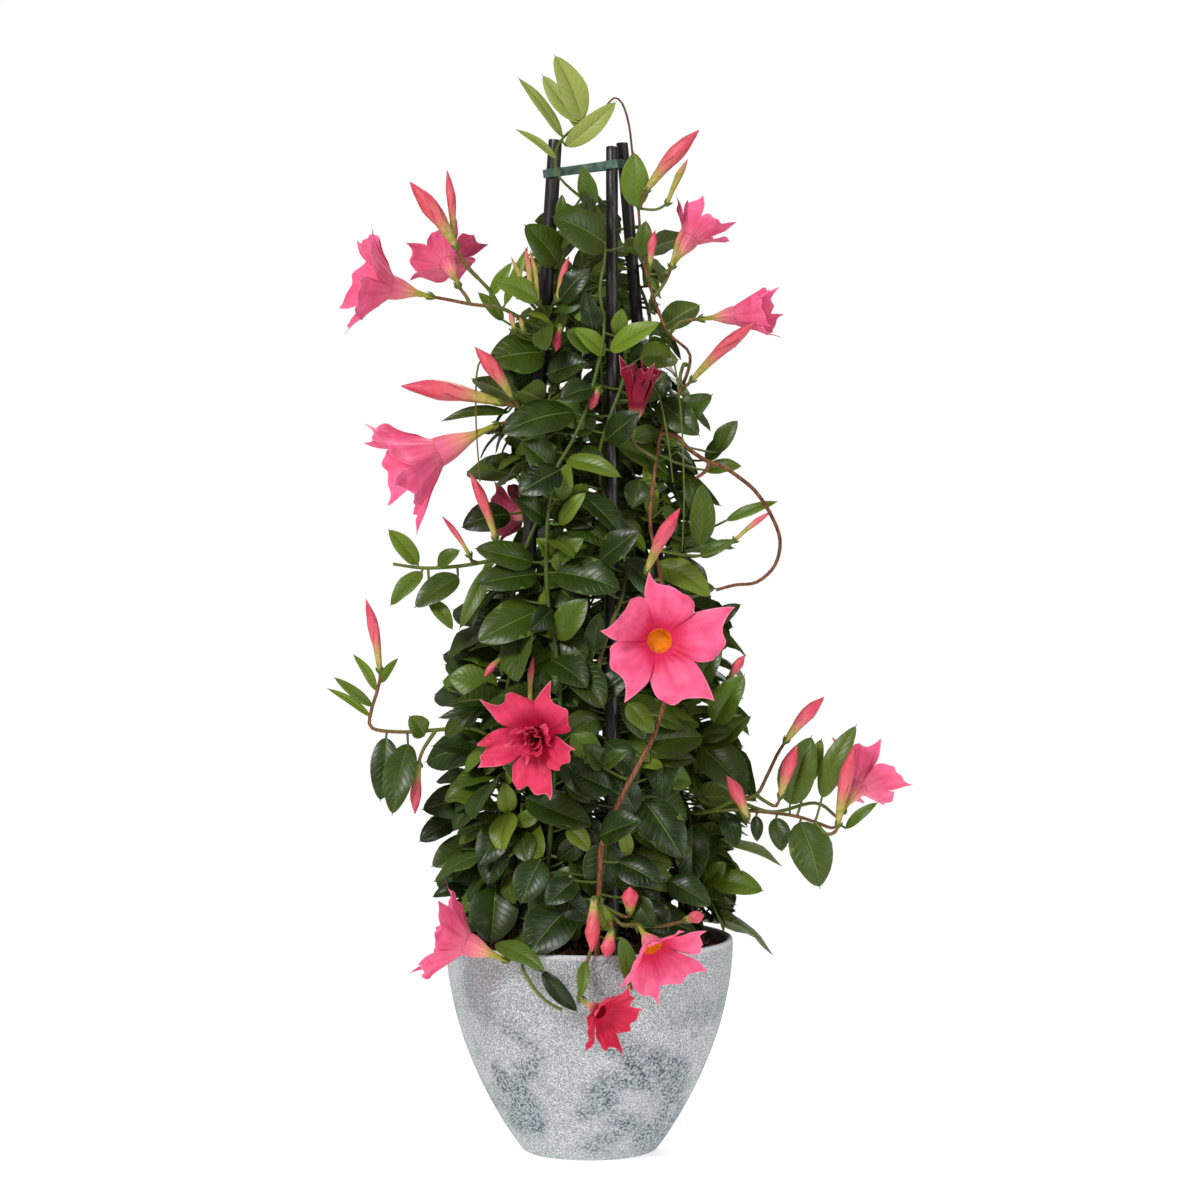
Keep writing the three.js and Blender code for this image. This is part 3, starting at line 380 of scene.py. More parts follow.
def on_cane(name, z):
    foot, top, _ = CANES[name]
    share = (z - foot[2]) / (top[2] - foot[2])
    return np.array(foot) + (np.array(top) - np.array(foot)) * share


def ring(angles, first, second):
    """A circle of radius 1 in the plane of two directions."""
    return np.outer(np.cos(angles), first) + np.outer(np.sin(angles), second)


def marks_of(*four):
    """The marks of a grid of points, from four numbers or rows of numbers."""
    return np.stack(np.broadcast_arrays(*four), axis=-1)


def tube(shape, route, radii, mark, skin=0, around=8):
    """A round stem along a route, its radius given for each point of the route."""
    route = np.asarray(route, float)
    radii = np.broadcast_to(np.asarray(radii, float), (len(route),))
    rows = []
    square = None
    for i, point in enumerate(route):
        along = unit(route[min(i + 1, len(route) - 1)] - route[max(i - 1, 0)])
        if square is None:
            square = UP if abs(along[2]) < 0.9 else np.array([1.0, 0, 0])
        square = across(along, square)
        rows.append(point + radii[i] * ring(round_angles(around), square, np.cross(along, square)))
    mark = np.broadcast_to(np.asarray(mark, float), (len(route), 4))
    shape.add(np.concatenate(rows), ring_faces(len(route), around), np.repeat(mark, around, axis=0), skin)


satin = Finish("cane_satin", roughness=0.38)
streak = satin.streaks(900, 22, 2.0)
satin.feed("Base Color", satin.mix(streak.rise(0.35, 0.75), tint(16, 14, 16), tint(46, 38, 36)))
satin.feed("Roughness", streak.rise(0.3, 0.8) * 0.22 + 0.30)
satin.relief(streak, 0.25)

for name, (foot, top, radius) in CANES.items():
    cane = Shape()
    heights = [CANE_FOOT, *np.linspace(CANE_FOOT + 6, top[2] - 1.4, 40), top[2] - 0.4, top[2]]
    thick = [radius * (CANE_STOUT - CANE_TAPER * (z - CANE_FOOT) / (top[2] - CANE_FOOT)) for z in heights]
    swells = [1 + CANE_SWELL * math.sin(z * 0.021 + radius) * math.sin(z * 0.057) for z in heights]
    thick = [r * swell for r, swell in zip(thick, swells)]
    thick[-2] -= 0.15
    thick[-1] -= 0.7
    tube(cane, [on_cane(name, z) for z in heights], thick, (0, 0.5, 0, 0), around=24)
    stake = cane.piece(name + "_stake", satin, crease=40)
    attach(stake, "root")
    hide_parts(name)


# ---------- clip ----------
# A moulded grey-green plastic spider that snaps over the three cane tops and holds them
# together: a ring for each cane, joined by flat arms. Its solid is shown as it is.
moulded = Finish("clip_plastic", roughness=0.42)
wear = moulded.noise(6, 3.0)
moulded.feed("Base Color", moulded.mix(wear.rise(0.35, 0.7), tint(58, 84, 72), tint(92, 120, 106)))
moulded.feed("Roughness", wear * 0.25 + 0.32)
moulded.relief(moulded.noise(0.9, 2.0), 0.08)
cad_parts["clip"].data.materials.clear()
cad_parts["clip"].data.materials.append(moulded.material)


# ---------- climbing vines ----------
# Living stems that twine up the canes from the soil, green while young and brown and woody
# where older. Opposite glossy leaves stand on short stalks all the way up.
STEM_FOOT_DEPTH = 12.0
STEM_CONE_FOOT, STEM_CONE_TOP = 84.0, 20.0  # how far out the canes and vines stand
CLIMB = CANES["cane_front"][1][2] - SOIL_TOP  # how high they climb
TWINE_REACH = 9.6  # from a cane's axis to the axis of a vine that twines round it
TWINE_PITCH, TWINE_STEP = 150, 26  # the height of one turn, and between a route's points
FREE_SPANS, FREE_TOP = 9, 11  # stretches of a free vine, and how far out it ends
PITCH = math.atan((EYE_Z - AIM_Z) / -EYE_Y)


def mix(a, b, share):
    return a + (b - a) * share


def place(spot):
    """The point at depth y that the camera sees at step (u, v) of the front elevation."""
    u, v, y = spot
    rise = (PICTURE / 2 - v) / LENS
    run = y - EYE_Y
    up = run * (rise * math.cos(PITCH) - math.sin(PITCH)) / (math.cos(PITCH) + rise * math.sin(PITCH))
    depth = run * math.cos(PITCH) - up * math.sin(PITCH)
    return np.array([EYE_X + (u - PICTURE / 2) * depth / LENS, y, EYE_Z + up])


def seen(points):
    """Where the camera sees points, as steps (u, v) of the front elevation."""
    x = points[:, 0] - EYE_X
    run = points[:, 1] - EYE_Y
    up = points[:, 2] - EYE_Z
    depth = run * math.cos(PITCH) - up * math.sin(PITCH)
    rise = run * math.sin(PITCH) + up * math.cos(PITCH)
    return PICTURE / 2 + x * LENS / depth, PICTURE / 2 - rise * LENS / depth


def twine(cane, phase, top):
    """Up one cane like a screw thread, from the soil."""
    low = SOIL_TOP - STEM_FOOT_DEPTH
    steps = math.ceil((top - low) / TWINE_STEP)
    route = []
    for i in range(steps + 1):
        z = mix(low, top, i / steps)
        angle = phase + 2 * math.pi * (z - low) / TWINE_PITCH
        x, y, _ = on_cane(cane, z)
        route.append(np.array([x + TWINE_REACH * math.cos(angle), y + TWINE_REACH * math.sin(angle), z]))
    return route


def free_vine(bearing, reach, top, sway):
    """Up behind the canes, leaning in as the pyramid narrows."""
    low = SOIL_TOP - STEM_FOOT_DEPTH
    route = []
    for i in range(FREE_SPANS + 1):
        t = i / FREE_SPANS
        angle = bearing + sway * math.sin(5 * t)
        radius = mix(reach, FREE_TOP, t ** 0.9)
        route.append(np.array([radius * math.cos(angle), radius * math.sin(angle), mix(low, top, t)]))
    return route


MIDDLE_ROUTE = [
    (540, 976, -52), (544, 900, -56), (549, 850, -60), (553, 800, -62), (557, 750, -62),
    (560, 700, -60), (556, 650, -58), (549, 610, -56), (546, 560, -54), (549, 505, -52),
    (556, 470, -50), (570, 445, -48), (586, 410, -46), (598, 365, -43), (604, 330, -40),
    (600, 290, -36), (605, 255, -31), (601, 226, -28), (588, 204, -27), (572, 190, -28),
    (560, 178, -29), (555, 165, -29), (556, 150, -25), (563, 138, -17), (574, 128, -9),
    (583, 121, -5)]
RUNNER_ROUTE = [
    (596, 976, -90), (599, 900, -90), (602, 845, -88), (620, 800, -86), (640, 762, -80),
    (656, 730, -74), (668, 680, -66), (667, 620, -60), (658, 566, -55), (650, 520, -50),
    (655, 470, -42), (662, 428, -34), (680, 392, -28), (690, 355, -22), (668, 332, -19),
    (651, 290, -16), (642, 250, -12), (638, 203, -9), (633, 160, -6), (629, 125, -6),
    (622, 103, -7), (614, 98, -8), (607, 105, -9)]
# For each vine: its route, its seed, its radius at the tip, how woody its foot and tip are,
# and whether leaf pairs climb it.
VINES = {
    "vine_left_a": (twine("cane_left", 4.2, 655), 11, 1.4, 0.6, 0.1, True),
    "vine_left_b": (twine("cane_left", 1.1, 560), 12, 1.4, 0.5, 0.1, True),
    "vine_front": (twine("cane_front", 0.4, 610), 13, 1.4, 0.6, 0.2, False),
    "vine_right_a": (twine("cane_right", 5.6, 690), 14, 1.4, 0.6, 0.1, True),
    "vine_right_b": (twine("cane_right", 2.5, 590), 15, 1.4, 0.5, 0.1, True),
    "vine_back_left": (free_vine(2.45, 58, 640, 0.25), 16, 1.4, 0.6, 0.1, True),
    "vine_back": (free_vine(1.75, 66, 680, -0.22), 17, 1.4, 0.7, 0.1, True),
    "vine_back_right": (free_vine(1.1, 60, 600, 0.2), 18, 1.4, 0.6, 0.1, True),
    "vine_middle": ([place(p) for p in MIDDLE_ROUTE], 19, 1.1, 0.25, 0.0, False),
    "vine_runner": ([place(p) for p in RUNNER_ROUTE], 20, 0.9, 1.0, 0.75, False),
}
LEAF_ARCH, LEAF_THICK, LEAF_STALK = 0.09, 0.8, 0.8
STEM, LEAF_UPPER, LEAF_UNDER = 0, 1, 2  # the finishes of a leafy piece
# What is drawn for each leaf: its fold, its waves and how deep they are, its twist in degrees
# and its bend to the side.
LEAF_FOLD, LEAF_WAVES, LEAF_RUFFLE = (0.02, 0.34), (1.2, 2.2), (0.03, 0.13)
LEAF_TWIST, LEAF_BEND = 16, 0.035
LEAF_BODY = 0.965  # the share of a leaf's length at which its oval ends
LEAF_ALONG = np.array([0, 0.03, 0.09, 0.18, 0.29, 0.42, 0.55, 0.67, 0.78, 0.87, 0.93, 0.965, 1.0])
LEAF_ACROSS = np.array([-1, -0.62, -0.16, 0, 0.16, 0.62, 1.0])


def turned(vector, axis, degrees):
    angle = math.radians(degrees)
    return (vector * math.cos(angle) + np.cross(axis, vector) * math.sin(angle)
            + axis * np.dot(axis, vector) * (1 - math.cos(angle)))


def smooth(route, step):
    """A flowing curve through the points of a route."""
    route = [np.asarray(p, float) for p in route]
    ends = [2 * route[0] - route[1], *route, 2 * route[-1] - route[-2]]
    curve = []
    for a, b, c, d in zip(ends, ends[1:], ends[2:], ends[3:]):
        for t in np.linspace(0, 1, max(2, math.ceil(np.linalg.norm(c - b) / step)), endpoint=False):
            curve.append(0.5 * (2 * b + (c - a) * t + (2 * a - 5 * b + 4 * c - d) * t * t
                                + (3 * b - a - 3 * c + d) * t ** 3))
    return [*curve, route[-1]]


def grow_stem(shape, route, step, radii, woody, bright, around=8, swell=0.0, seed=0):
    """A stem along a route. Its radii are at foot and tip, woody and bright at the foot and
    how much is added up to the tip, and it swells and narrows by the share swell."""
    curve = smooth(route, step)
    share = np.linspace(0, 1, len(curve))
    radius = mix(*radii, share) * (1 + swell * np.sin(share * 60 + seed))
    mark = marks_of(woody[0] + woody[1] * share, bright[0] + bright[1] * share, share, 0)
    tube(shape, curve, radius, mark, around=around)


def nearest_on(route, point):
    best, best_distance = None, math.inf
    for start, end in zip(route, route[1:]):
        line = end - start
        share = min(1.0, max(0.0, np.dot(point - start, line) / np.dot(line, line)))
        spot = start + line * share
        distance = np.linalg.norm(spot - point)
        if distance < best_distance:
            best, best_distance = spot, distance
    return best, best_distance


def nearest_route(point, names):
    found = [(*nearest_on(routes[name], point), name) for name in names]
    spot, _, name = min(found, key=lambda entry: entry[1])
    return name, spot


def leaf_half(t, width):
    """Half the blade's width at t of its length: a full oval, with a short drawn-out tip."""
    body = np.sin(np.pi * np.clip(t / LEAF_BODY, 0, 1) ** 0.82) ** 0.62
    return np.maximum(width / 2 * 1.05 * body, mix(LEAF_STALK, 0.25, t))


def blade(shape, top, over, marks):
    """A thin closed blade from its top grid; both faces share the rim."""
    rows, cols = top.shape[:2]
    inner = top[1:-1, 1:-1] - over * (LEAF_THICK * np.sqrt(1 - LEAF_ACROSS[1:-1] ** 2))[None, :, None]
    upside = np.arange(rows * cols).reshape(rows, cols)
    downside = upside.copy()
    downside[1:-1, 1:-1] = rows * cols + np.arange((rows - 2) * (cols - 2)).reshape(rows - 2, cols - 2)
    faces, skins = [], []
    for grid, skin, turn in ((upside, LEAF_UPPER, 1), (downside, LEAF_UNDER, -1)):
        quads = np.stack([grid[:-1, :-1], grid[:-1, 1:], grid[1:, 1:], grid[1:, :-1]], axis=-1)
        quads = quads.reshape(-1, 4)[:, ::turn]
        faces += quads.tolist()
        skins += [skin] * len(quads)
    points = np.concatenate([top.reshape(-1, 3), inner.reshape(-1, 3)])
    marks = np.concatenate([marks.reshape(-1, 4), marks[1:-1, 1:-1].reshape(-1, 4)])
    shape.add(points, faces, marks, skins)


def leaf_top(base, tip, width, face, draw):
    """The upper face of one leaf: folded along its midrib, arched, twisted and waved."""
    along = tip - base
    length = np.linalg.norm(along)
    along = along / length
    over = across(along, face)
    side = np.cross(along, over)
    t = LEAF_ALONG[:, None]
    s = LEAF_ACROSS[None, :]
    half = leaf_half(LEAF_ALONG, width)[:, None]
    bell = np.sin(np.pi * t)
    fold = draw(*LEAF_FOLD) * bell
    rise = fold * half * (np.abs(s) - 0.4)
    rise = rise + 0.10 * half * 4 * np.abs(s) * (1 - np.abs(s))
    phase = draw(0, 6.3)
    wave = np.sin(2 * np.pi * draw(*LEAF_WAVES) * t + phase + np.sign(s) * draw(0.3, 1.6))
    rise = rise + draw(*LEAF_RUFFLE) * half * wave * s * s * bell
    rise = rise - 0.05 * length * np.clip((t - 0.72) / 0.28, 0, 1) ** 2 * (1 - t) * 4
    angle = np.radians(draw(-LEAF_TWIST, LEAF_TWIST)) * (t - 0.4) * bell
    x = half * s
    x, rise = x * np.cos(angle) - rise * np.sin(angle), x * np.sin(angle) + rise * np.cos(angle)
    x = x + draw(-LEAF_BEND, LEAF_BEND) * length * bell
    rise = rise + LEAF_ARCH * length * bell
    grid = base + along * (t * length + 0 * s)[..., None] + side * x[..., None] + over * rise[..., None]
    return grid, over


def grow_leaf(shape, root, base, tip, width, face, tone, draw):
    """A leaf on its stalk, in the piece of the stem it grows from."""
    grid, over = leaf_top(base, tip, width, face, draw)
    luck = draw()
    blade(shape, grid, over, marks_of((LEAF_ACROSS + 1) / 2, LEAF_ALONG[:, None], tone, luck))
    inside = mix(base, tip, 0.05) + over * 0.2
    middle = mix(root, base, 0.55) + np.array([0, 0, -0.08 * np.linalg.norm(base - root)])
    stalk = [root, mix(root, middle, 0.6), mix(middle, base, 0.6), base - over * 0.2, inside - over * 0.5]
    mark = (0.12 + 0.2 * luck, 0.3 + 0.6 * tone, luck, 0)
    tube(shape, stalk, [1.0, 0.9, 0.85, 0.8, 0.5], mark, STEM, around=6)


# Leaves that show from the front: base, tip, width, how far the tip stands forward of the
# base, how far the blade is rolled, and for some the depth of the base.
FRONT_LEAVES = [
    # top sprig
    (582, 120, 554, 54, 20, 8, 0), (580, 122, 540, 72, 14, 10, -20), (562, 136, 518, 77, 10, 0, 10),
    (556, 158, 516, 129, 6.5, 6, 0, -36), (566, 146, 617, 101, 15, 8, 35), (576, 127, 568, 103, 7, -6, 0),
    # upper
    (592, 208, 582, 166, 14, 8, 0), (588, 224, 584, 190, 11, 4, 20), (637, 207, 634, 151, 20, 10, 0),
    (558, 264, 524, 224, 26, 12, 0), (606, 244, 551, 216, 34, 14, -10), (560, 222, 562, 194, 8, 2, 0),
    (538, 300, 494, 282, 18, 6, 0, -46), (533, 330, 554, 302, 16, 8, 0), (503, 320, 478, 292, 10, 4, 0),
    (605, 354, 574, 328, 15, 12, 0), (610, 350, 660, 322, 17, 12, 0), (594, 336, 585, 290, 14, 6, 0),
    (618, 336, 622, 308, 12, 6, 0),
    # middle
    (543, 352, 488, 360, 34, 16, 0), (547, 374, 588, 362, 24, 12, 0), (574, 412, 500, 434, 28, 18, 0),
    (556, 472, 522, 442, 28, 14, 0), (566, 459, 622, 477, 15, 16, 0), (560, 500, 569, 462, 14, 12, 0),
    (552, 500, 546, 466, 13, 10, 0), (578, 492, 634, 552, 26, 16, 0), (560, 524, 586, 492, 12, 10, 0),
    (548, 520, 515, 498, 18, 12, 0), (510, 514, 461, 528, 24, 10, 0), (662, 472, 624, 438, 26, 12, 0),
    (652, 518, 644, 462, 11, 10, 0), (537, 574, 476, 584, 24, 16, 0), (556, 572, 622, 590, 30, 18, 0),
    (540, 610, 476, 642, 32, 20, 0), (552, 558, 536, 538, 12, 8, 0), (560, 560, 584, 538, 13, 10, 0),
    (556, 638, 588, 598, 22, 10, 0), (594, 652, 600, 612, 14, 6, 0), (550, 662, 556, 695, 16, 10, 0),
    (568, 664, 606, 712, 28, 16, 0), (628, 704, 654, 734, 16, 10, 0, -92), (655, 564, 712, 597, 21, 16, 0),
    # right
    (670, 428, 713, 394, 22, 8, 0), (706, 460, 731, 432, 12, 6, 0), (700, 545, 702, 482, 18, 6, 0),
    (727, 520, 778, 501, 9, 4, 0), (690, 480, 692, 514, 9, 6, 0), (716, 624, 741, 604, 12, 4, 0),
    (714, 724, 745, 674, 22, 8, 0), (700, 736, 733, 732, 15, 8, 0), (722, 742, 751, 716, 14, 6, 0),
    (700, 746, 748, 797, 30, 16, 0), (664, 748, 662, 800, 22, 14, 0), (688, 750, 692, 795, 15, 8, 0),
    (644, 800, 684, 860, 30, 18, 0),
    (724, 812, 737, 848, 15, 6, 0), (712, 880, 764, 891, 20, 10, 0), (704, 884, 726, 862, 16, 6, 0),
    # left
    (500, 703, 447, 687, 14, 8, 0), (496, 713, 438, 718, 11, 6, 0), (480, 752, 431, 746, 12, 8, 0),
    (494, 744, 457, 725, 15, 8, 0), (482, 800, 421, 810, 28, 14, 0), (496, 806, 450, 797, 15, 18, 0),
    (508, 813, 504, 782, 14, 8, 0), (454, 820, 419, 842, 18, 8, 0), (476, 840, 431, 867, 22, 10, 0),
    (488, 854, 452, 881, 20, 8, 0), (510, 824, 478, 866, 24, 14, 0), (526, 798, 594, 826, 26, 18, 0),
    (568, 828, 590, 852, 14, 8, 0),
    # foot
    (496, 887, 491, 946, 34, 14, 0), (568, 908, 528, 956, 35, 18, 0), (638, 897, 662, 942, 24, 10, 0, -98)]
# Leaf tones by where their tips show, from 0 for the darkest to 1 for the brightest: partly young growth,
# partly painted light on leaves that catch it.
TONE_YOUTH_AND_PAINTED_LIGHT = {
    (554, 54): 1.0, (540, 72): 0.95, (518, 77): 0.95, (516, 129): 0.9, (617, 101): 1.0, (568, 103): 0.9,
    (582, 166): 0.4, (634, 151): 0.5, (562, 194): 0.35, (524, 224): 0.2, (551, 216): 0.15,
    (494, 282): 0.45, (554, 302): 0.5, (478, 292): 0.5, (574, 328): 0.72, (660, 322): 0.66, (622, 308): 0.5,
    (622, 477): 0.4, (569, 462): 0.5, (546, 466): 0.45, (586, 492): 0.5, (644, 462): 0.6, (536, 538): 0.5,
    (584, 538): 0.45, (588, 598): 0.3, (712, 597): 0.5, (713, 394): 0.3, (731, 432): 0.35,
    (702, 482): 0.35, (778, 501): 0.55, (745, 674): 0.5, (751, 716): 0.35,
    (764, 891): 0.5, (726, 862): 0.4, (450, 797): 0.5, (504, 782): 0.5, (590, 852): 0.4, (654, 734): 0.4,
    (388, 529): 0.6, (390, 606): 0.5, (460, 550): 0.4, (453, 630): 0.45,
    (459, 630): 0.35, (353, 654): 0.6, (398, 658): 0.6, (334, 677): 0.5, (327, 688): 0.6,
    (409, 716): 0.3, (512, 262): 0.6, (528, 246): 0.6, (812, 735): 0.35, (822, 738): 0.5, (857, 724): 0.35,
    (878, 802): 0.5, (545, 971): 0.4, (580, 998): 0.5, (596, 902): 0.6, (632, 992): 0.45}
FACING = (0, -0.85, 0.55)  # the way the leaves in front face: forward and up
NUDGES = [  # lean, roll and size tried in turn until a leaf is clear of the others
    (0, 0, 1), (7, 0, 1), (-7, 0, 1), (14, 12, 1), (-14, -12, 1), (21, 0, 0.95), (-21, 0, 0.95),
    (8, 25, 0.88), (-8, -25, 0.88), (28, 10, 0.8), (-24, -10, 0.8), (0, 35, 0.7), (14, -35, 0.7)]

SAME_TIP = 0.05  # how near a solid's point has to lie to a leaf's tip
LEAST_OUT, LEAF_OUT = 8, 4  # a front leaf's root: how far out at least, and beyond the stems
PAIR_FIRST, PAIR_APART, PAIR_TRIES = 30.0, 58.0, 9
PAIR_LENGTH, PAIR_WIDTH, PAIR_OUT, PAIR_UP = 60, 34, 9.9, 4
PAIR_SWING = ((45, 95), (8, 40))  # degrees from straight out, by turns
PAIR_LOWEST, PAIR_HIGHEST = -42, (8, 34)  # slope in degrees; the highest at soil and top
PAIR_SIZES, PAIR_TOP_SIZE = (0.86, 1.12), 0.62

solid_points = {}
for name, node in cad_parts.items():
    count = len(node.data.vertices)
    tree = KDTree(count)
    for i, vertex in enumerate(node.data.vertices):
        tree.insert(vertex.co / MM, i)
    tree.balance()
    solid_points[name] = tree


def stands_in(name, tip):
    """Whether the solid of this name has a leaf that ends at tip."""
    return solid_points[name].find(Vector(tip))[2] < SAME_TIP


def stem_depth(u, v):
    """The depth of the stems in front, where the camera sees step (u, v)."""
    spot = place((u, v, -40))
    share = (spot[2] - SOIL_TOP) / CLIMB
    radius = mix(STEM_CONE_FOOT, STEM_CONE_TOP, min(1, max(0, share)))
    return -math.sqrt(max(LEAST_OUT ** 2, radius * radius - spot[0] ** 2)) - LEAF_OUT


def grow_front_leaf(shapes, leaf, names, draw):
    """A leaf of the table where the solids have it; names are the stems it may grow from."""
    u0, v0, u1, v1, width, lean, roll = leaf[:7]
    y = leaf[7] if len(leaf) > 7 else stem_depth(u0, v0)
    base = place((u0, v0, y))
    name, root = nearest_route(base, names)
    for push, twist, size in NUDGES:
        tip = base + (place((u1, v1, y - lean - push)) - base) * size
        if stands_in(name, tip):
            along = unit(tip - base)
            face = turned(across(along, FACING), along, roll + twist)
            tone = TONE_YOUTH_AND_PAINTED_LIGHT.get((u1, v1), 0.16 * draw() ** 2)
            grow_leaf(shapes[name], root, base, tip, width * size, face, tone, draw)
            return


def grow_pair_leaf(shapes, name, root, pair, side, seed, luck):
    """One leaf of a pair that climbs a vine; it stands where the solid's leaf stands."""
    draw = dice(seed * 7919)
    draw()
    height = (root[2] - SOIL_TOP) / CLIMB
    out = unit(np.array([root[0], root[1], 0]))
    sideways = np.array([-out[1], out[0], 0])
    for attempt in range(PAIR_TRIES):
        swing = math.radians(side * draw(*PAIR_SWING[pair % 2]))
        drop = math.radians(draw(PAIR_LOWEST, mix(*PAIR_HIGHEST, height)))
        size = (1 - 0.04 * attempt) * draw(*PAIR_SIZES) * mix(1, PAIR_TOP_SIZE, max(0, height))
        flatways = out * math.cos(swing) + sideways * math.sin(swing)
        along = flatways * math.cos(drop) + UP * math.sin(drop)
        base = root + flatways * PAIR_OUT + UP * PAIR_UP
        tip = base + along * PAIR_LENGTH * size
        if stands_in(name, tip):
            # Paler higher up: partly younger growth, partly painted light at the top of the plant.
            tone = 0.3 * luck() ** 3 + 0.15 * max(0, height)
            face = out * 0.75 + UP * 0.7
            grow_leaf(shapes[name], root, base, tip, PAIR_WIDTH * size, face, tone, luck)
            return


def roots_along(route, first, apart):
    """Points spaced evenly along a route."""
    walked, wanted = 0.0, first
    for start, end in zip(route, route[1:]):
        step = np.linalg.norm(end - start)
        while walked + step > wanted:
            yield start + (end - start) * ((wanted - walked) / step)
            wanted += apart
        walked += step


def grow_pairs(shapes, name, seed, luck):
    for pair, root in enumerate(roots_along(routes[name], PAIR_FIRST, PAIR_APART)):
        for side in (-1, 1):
            grow_pair_leaf(shapes, name, root, pair, side, seed * 100 + pair * 2 + side, luck)


routes = {name: route for name, (route, *_) in VINES.items()}
# The leaves deeper in the plant fill it out to its outline, and stand clear of the solids,
# of each other, of the flowers and of the stretches of cane that show.
OUTLINE_Z = (150, 225, 335, 406, 551, 660, 745)
OUTLINE_R = (116, 126, 118, 98, 74, 48, 22)
OUTLINE_GAP, SOIL_GAP = 2, 6  # room in front of the stems and over the soil
FLOWER_MARGIN, CANE_MARGIN_U, CANE_MARGIN_V = 3, 7, 5
CANES_SHOWN = [
    ("cane_front", 140, 450), ("cane_front", 600, 705), ("cane_left", 130, 218), ("cane_left", 262, 300),
    ("cane_left", 470, 560), ("cane_left", 630, 700), ("cane_right", 140, 206), ("cane_right", 272, 335),
    ("cane_right", 480, 600)]
CROWD_TRIES, CROWD_FIRST = 16, 34.0
CROWD_SWING = 125  # degrees from straight out
CROWD_LOWEST, CROWD_HIGHEST = (-72, -45), (6, 36)  # slope in degrees, at soil and top
CROWD_SLIM, CROWD_TOP_SIZE = (0.54, 0.70), 0.68  # width for its length, and size at the top
CROWD_PASSES = ((50, 70, 9.0), (34, 54, 4.2))  # shortest and longest leaf, and how far apart

points, faces = [], []
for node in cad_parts.values():
    start = len(points)
    points += [vertex.co / MM for vertex in node.data.vertices]
    faces += [[start + corner for corner in face.vertices] for face in node.data.polygons]
solids = BVHTree.FromPolygons(points, faces)

windows = []  # (u0, v0, u1, v1, depth): nothing stands in front of what shows here
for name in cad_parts:
    if name.startswith(("bloom", "bud")):
        low, high = (np.array(corner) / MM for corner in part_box(name))
        u, v = seen(np.array([low, high]))
        windows.append((min(u) + FLOWER_MARGIN, min(v) + FLOWER_MARGIN, max(u) - FLOWER_MARGIN,
                        max(v) - FLOWER_MARGIN, (low[1] + high[1]) / 2))
for name, v0, v1 in CANES_SHOWN:
    line = np.array([on_cane(name, z) for z in np.linspace(CANE_FOOT, CANES[name][1][2], 80)])
    for u, v, y in zip(*seen(line), line[:, 1]):
        if v0 < v < v1:
            windows.append((u - CANE_MARGIN_U, v - CANE_MARGIN_V, u + CANE_MARGIN_U, v + CANE_MARGIN_V, y))
windows = np.array(windows)


def inside_outline(points):
    """Whether points stay within the plant's outline, over the soil and behind its front."""
    x, y, z = points.T
    reach = np.interp(z, OUTLINE_Z, OUTLINE_R)
    front = mix(STEM_CONE_FOOT, STEM_CONE_TOP, np.clip((z - SOIL_TOP) / CLIMB, 0, 1)) + OUTLINE_GAP
    if z.min() < SOIL_TOP + SOIL_GAP or z.max() > OUTLINE_Z[-1] or np.any(np.hypot(x, y) > reach):
        return False
    return bool(np.all(y > -front * np.sqrt(np.clip(1 - (x / reach) ** 2, 0.02, 1))))


def hides_something(points):
    """Whether any point stands in front of a window."""
    u, v = seen(points)
    hit = ((u[:, None] > windows[:, 0]) & (v[:, None] > windows[:, 1]) & (u[:, None] < windows[:, 2])
           & (v[:, None] < windows[:, 3]) & (points[:, 1, None] < windows[:, 4]))
    return bool(hit.any())


crowd = []


def is_clear(grid):
    """Whether a blade crosses no solid and none of the leaves added before it."""
    coarse = grid[::2, ::3]
    rows = len(coarse)
    points = [Vector(p) for p in coarse.reshape(-1, 3)]
    corners = [3 * i + j for i in range(rows - 1) for j in (0, 1)]
    quads = [(k, k + 1, k + 4, k + 3) for k in corners]
    tree = BVHTree.FromPolygons(points, quads)
    if tree.overlap(solids):
        return False
    centre = coarse.mean(axis=(0, 1))
    radius = np.linalg.norm(coarse[-1, 1] - coarse[0, 1]) / 2 + 3
    for other, other_radius, other_tree in crowd:
        if np.linalg.norm(other - centre) < radius + other_radius and tree.overlap(other_tree):
            return False
    crowd.append((centre, radius, tree))
    return True


def grow_crowd_leaf(shape, root, shortest, longest, draw):
    """A leaf from one root at the first try that is clear; none where no try is."""
    height = min(1, max(0, (root[2] - SOIL_TOP) / CLIMB))
    outward = math.atan2(root[1], root[0])
    away = np.array([math.cos(outward), math.sin(outward), 0])
    for attempt in range(CROWD_TRIES):
        bearing = outward + math.radians(draw(-CROWD_SWING, CROWD_SWING))
        drop = math.radians(draw(mix(*CROWD_LOWEST, height), mix(*CROWD_HIGHEST, height)))
        length = draw(shortest, longest) * mix(1, CROWD_TOP_SIZE, height) * (1 - 0.03 * attempt)
        flatways = np.array([math.cos(bearing), math.sin(bearing), 0])
        along = flatways * math.cos(drop) + UP * math.sin(drop)
        base = root + flatways * draw(5, 26) + UP * draw(0, 8)
        tip = base + along * length
        if not inside_outline(np.array([mix(base, tip, 0.5), tip])):
            continue
        face = away * draw(0.4, 1.3) + UP * draw(0.4, 1.0) + np.cross(away, UP) * draw(-0.5, 0.5)
        seed = int(draw(1, 1e6))
        width = length * draw(*CROWD_SLIM)
        grid, _ = leaf_top(base, tip, width, face, dice(seed))
        if hides_something(grid.reshape(-1, 3)) or not inside_outline(grid[::3].reshape(-1, 3)):
            continue
        if is_clear(grid):
            # Random youth, and paler higher up: partly younger growth, partly painted light at the top of
            # the plant.
            tone = 0.5 * draw() ** 2.6 + 0.14 * height
            grow_leaf(shape, root, base, tip, width, face, tone, dice(seed))
            return
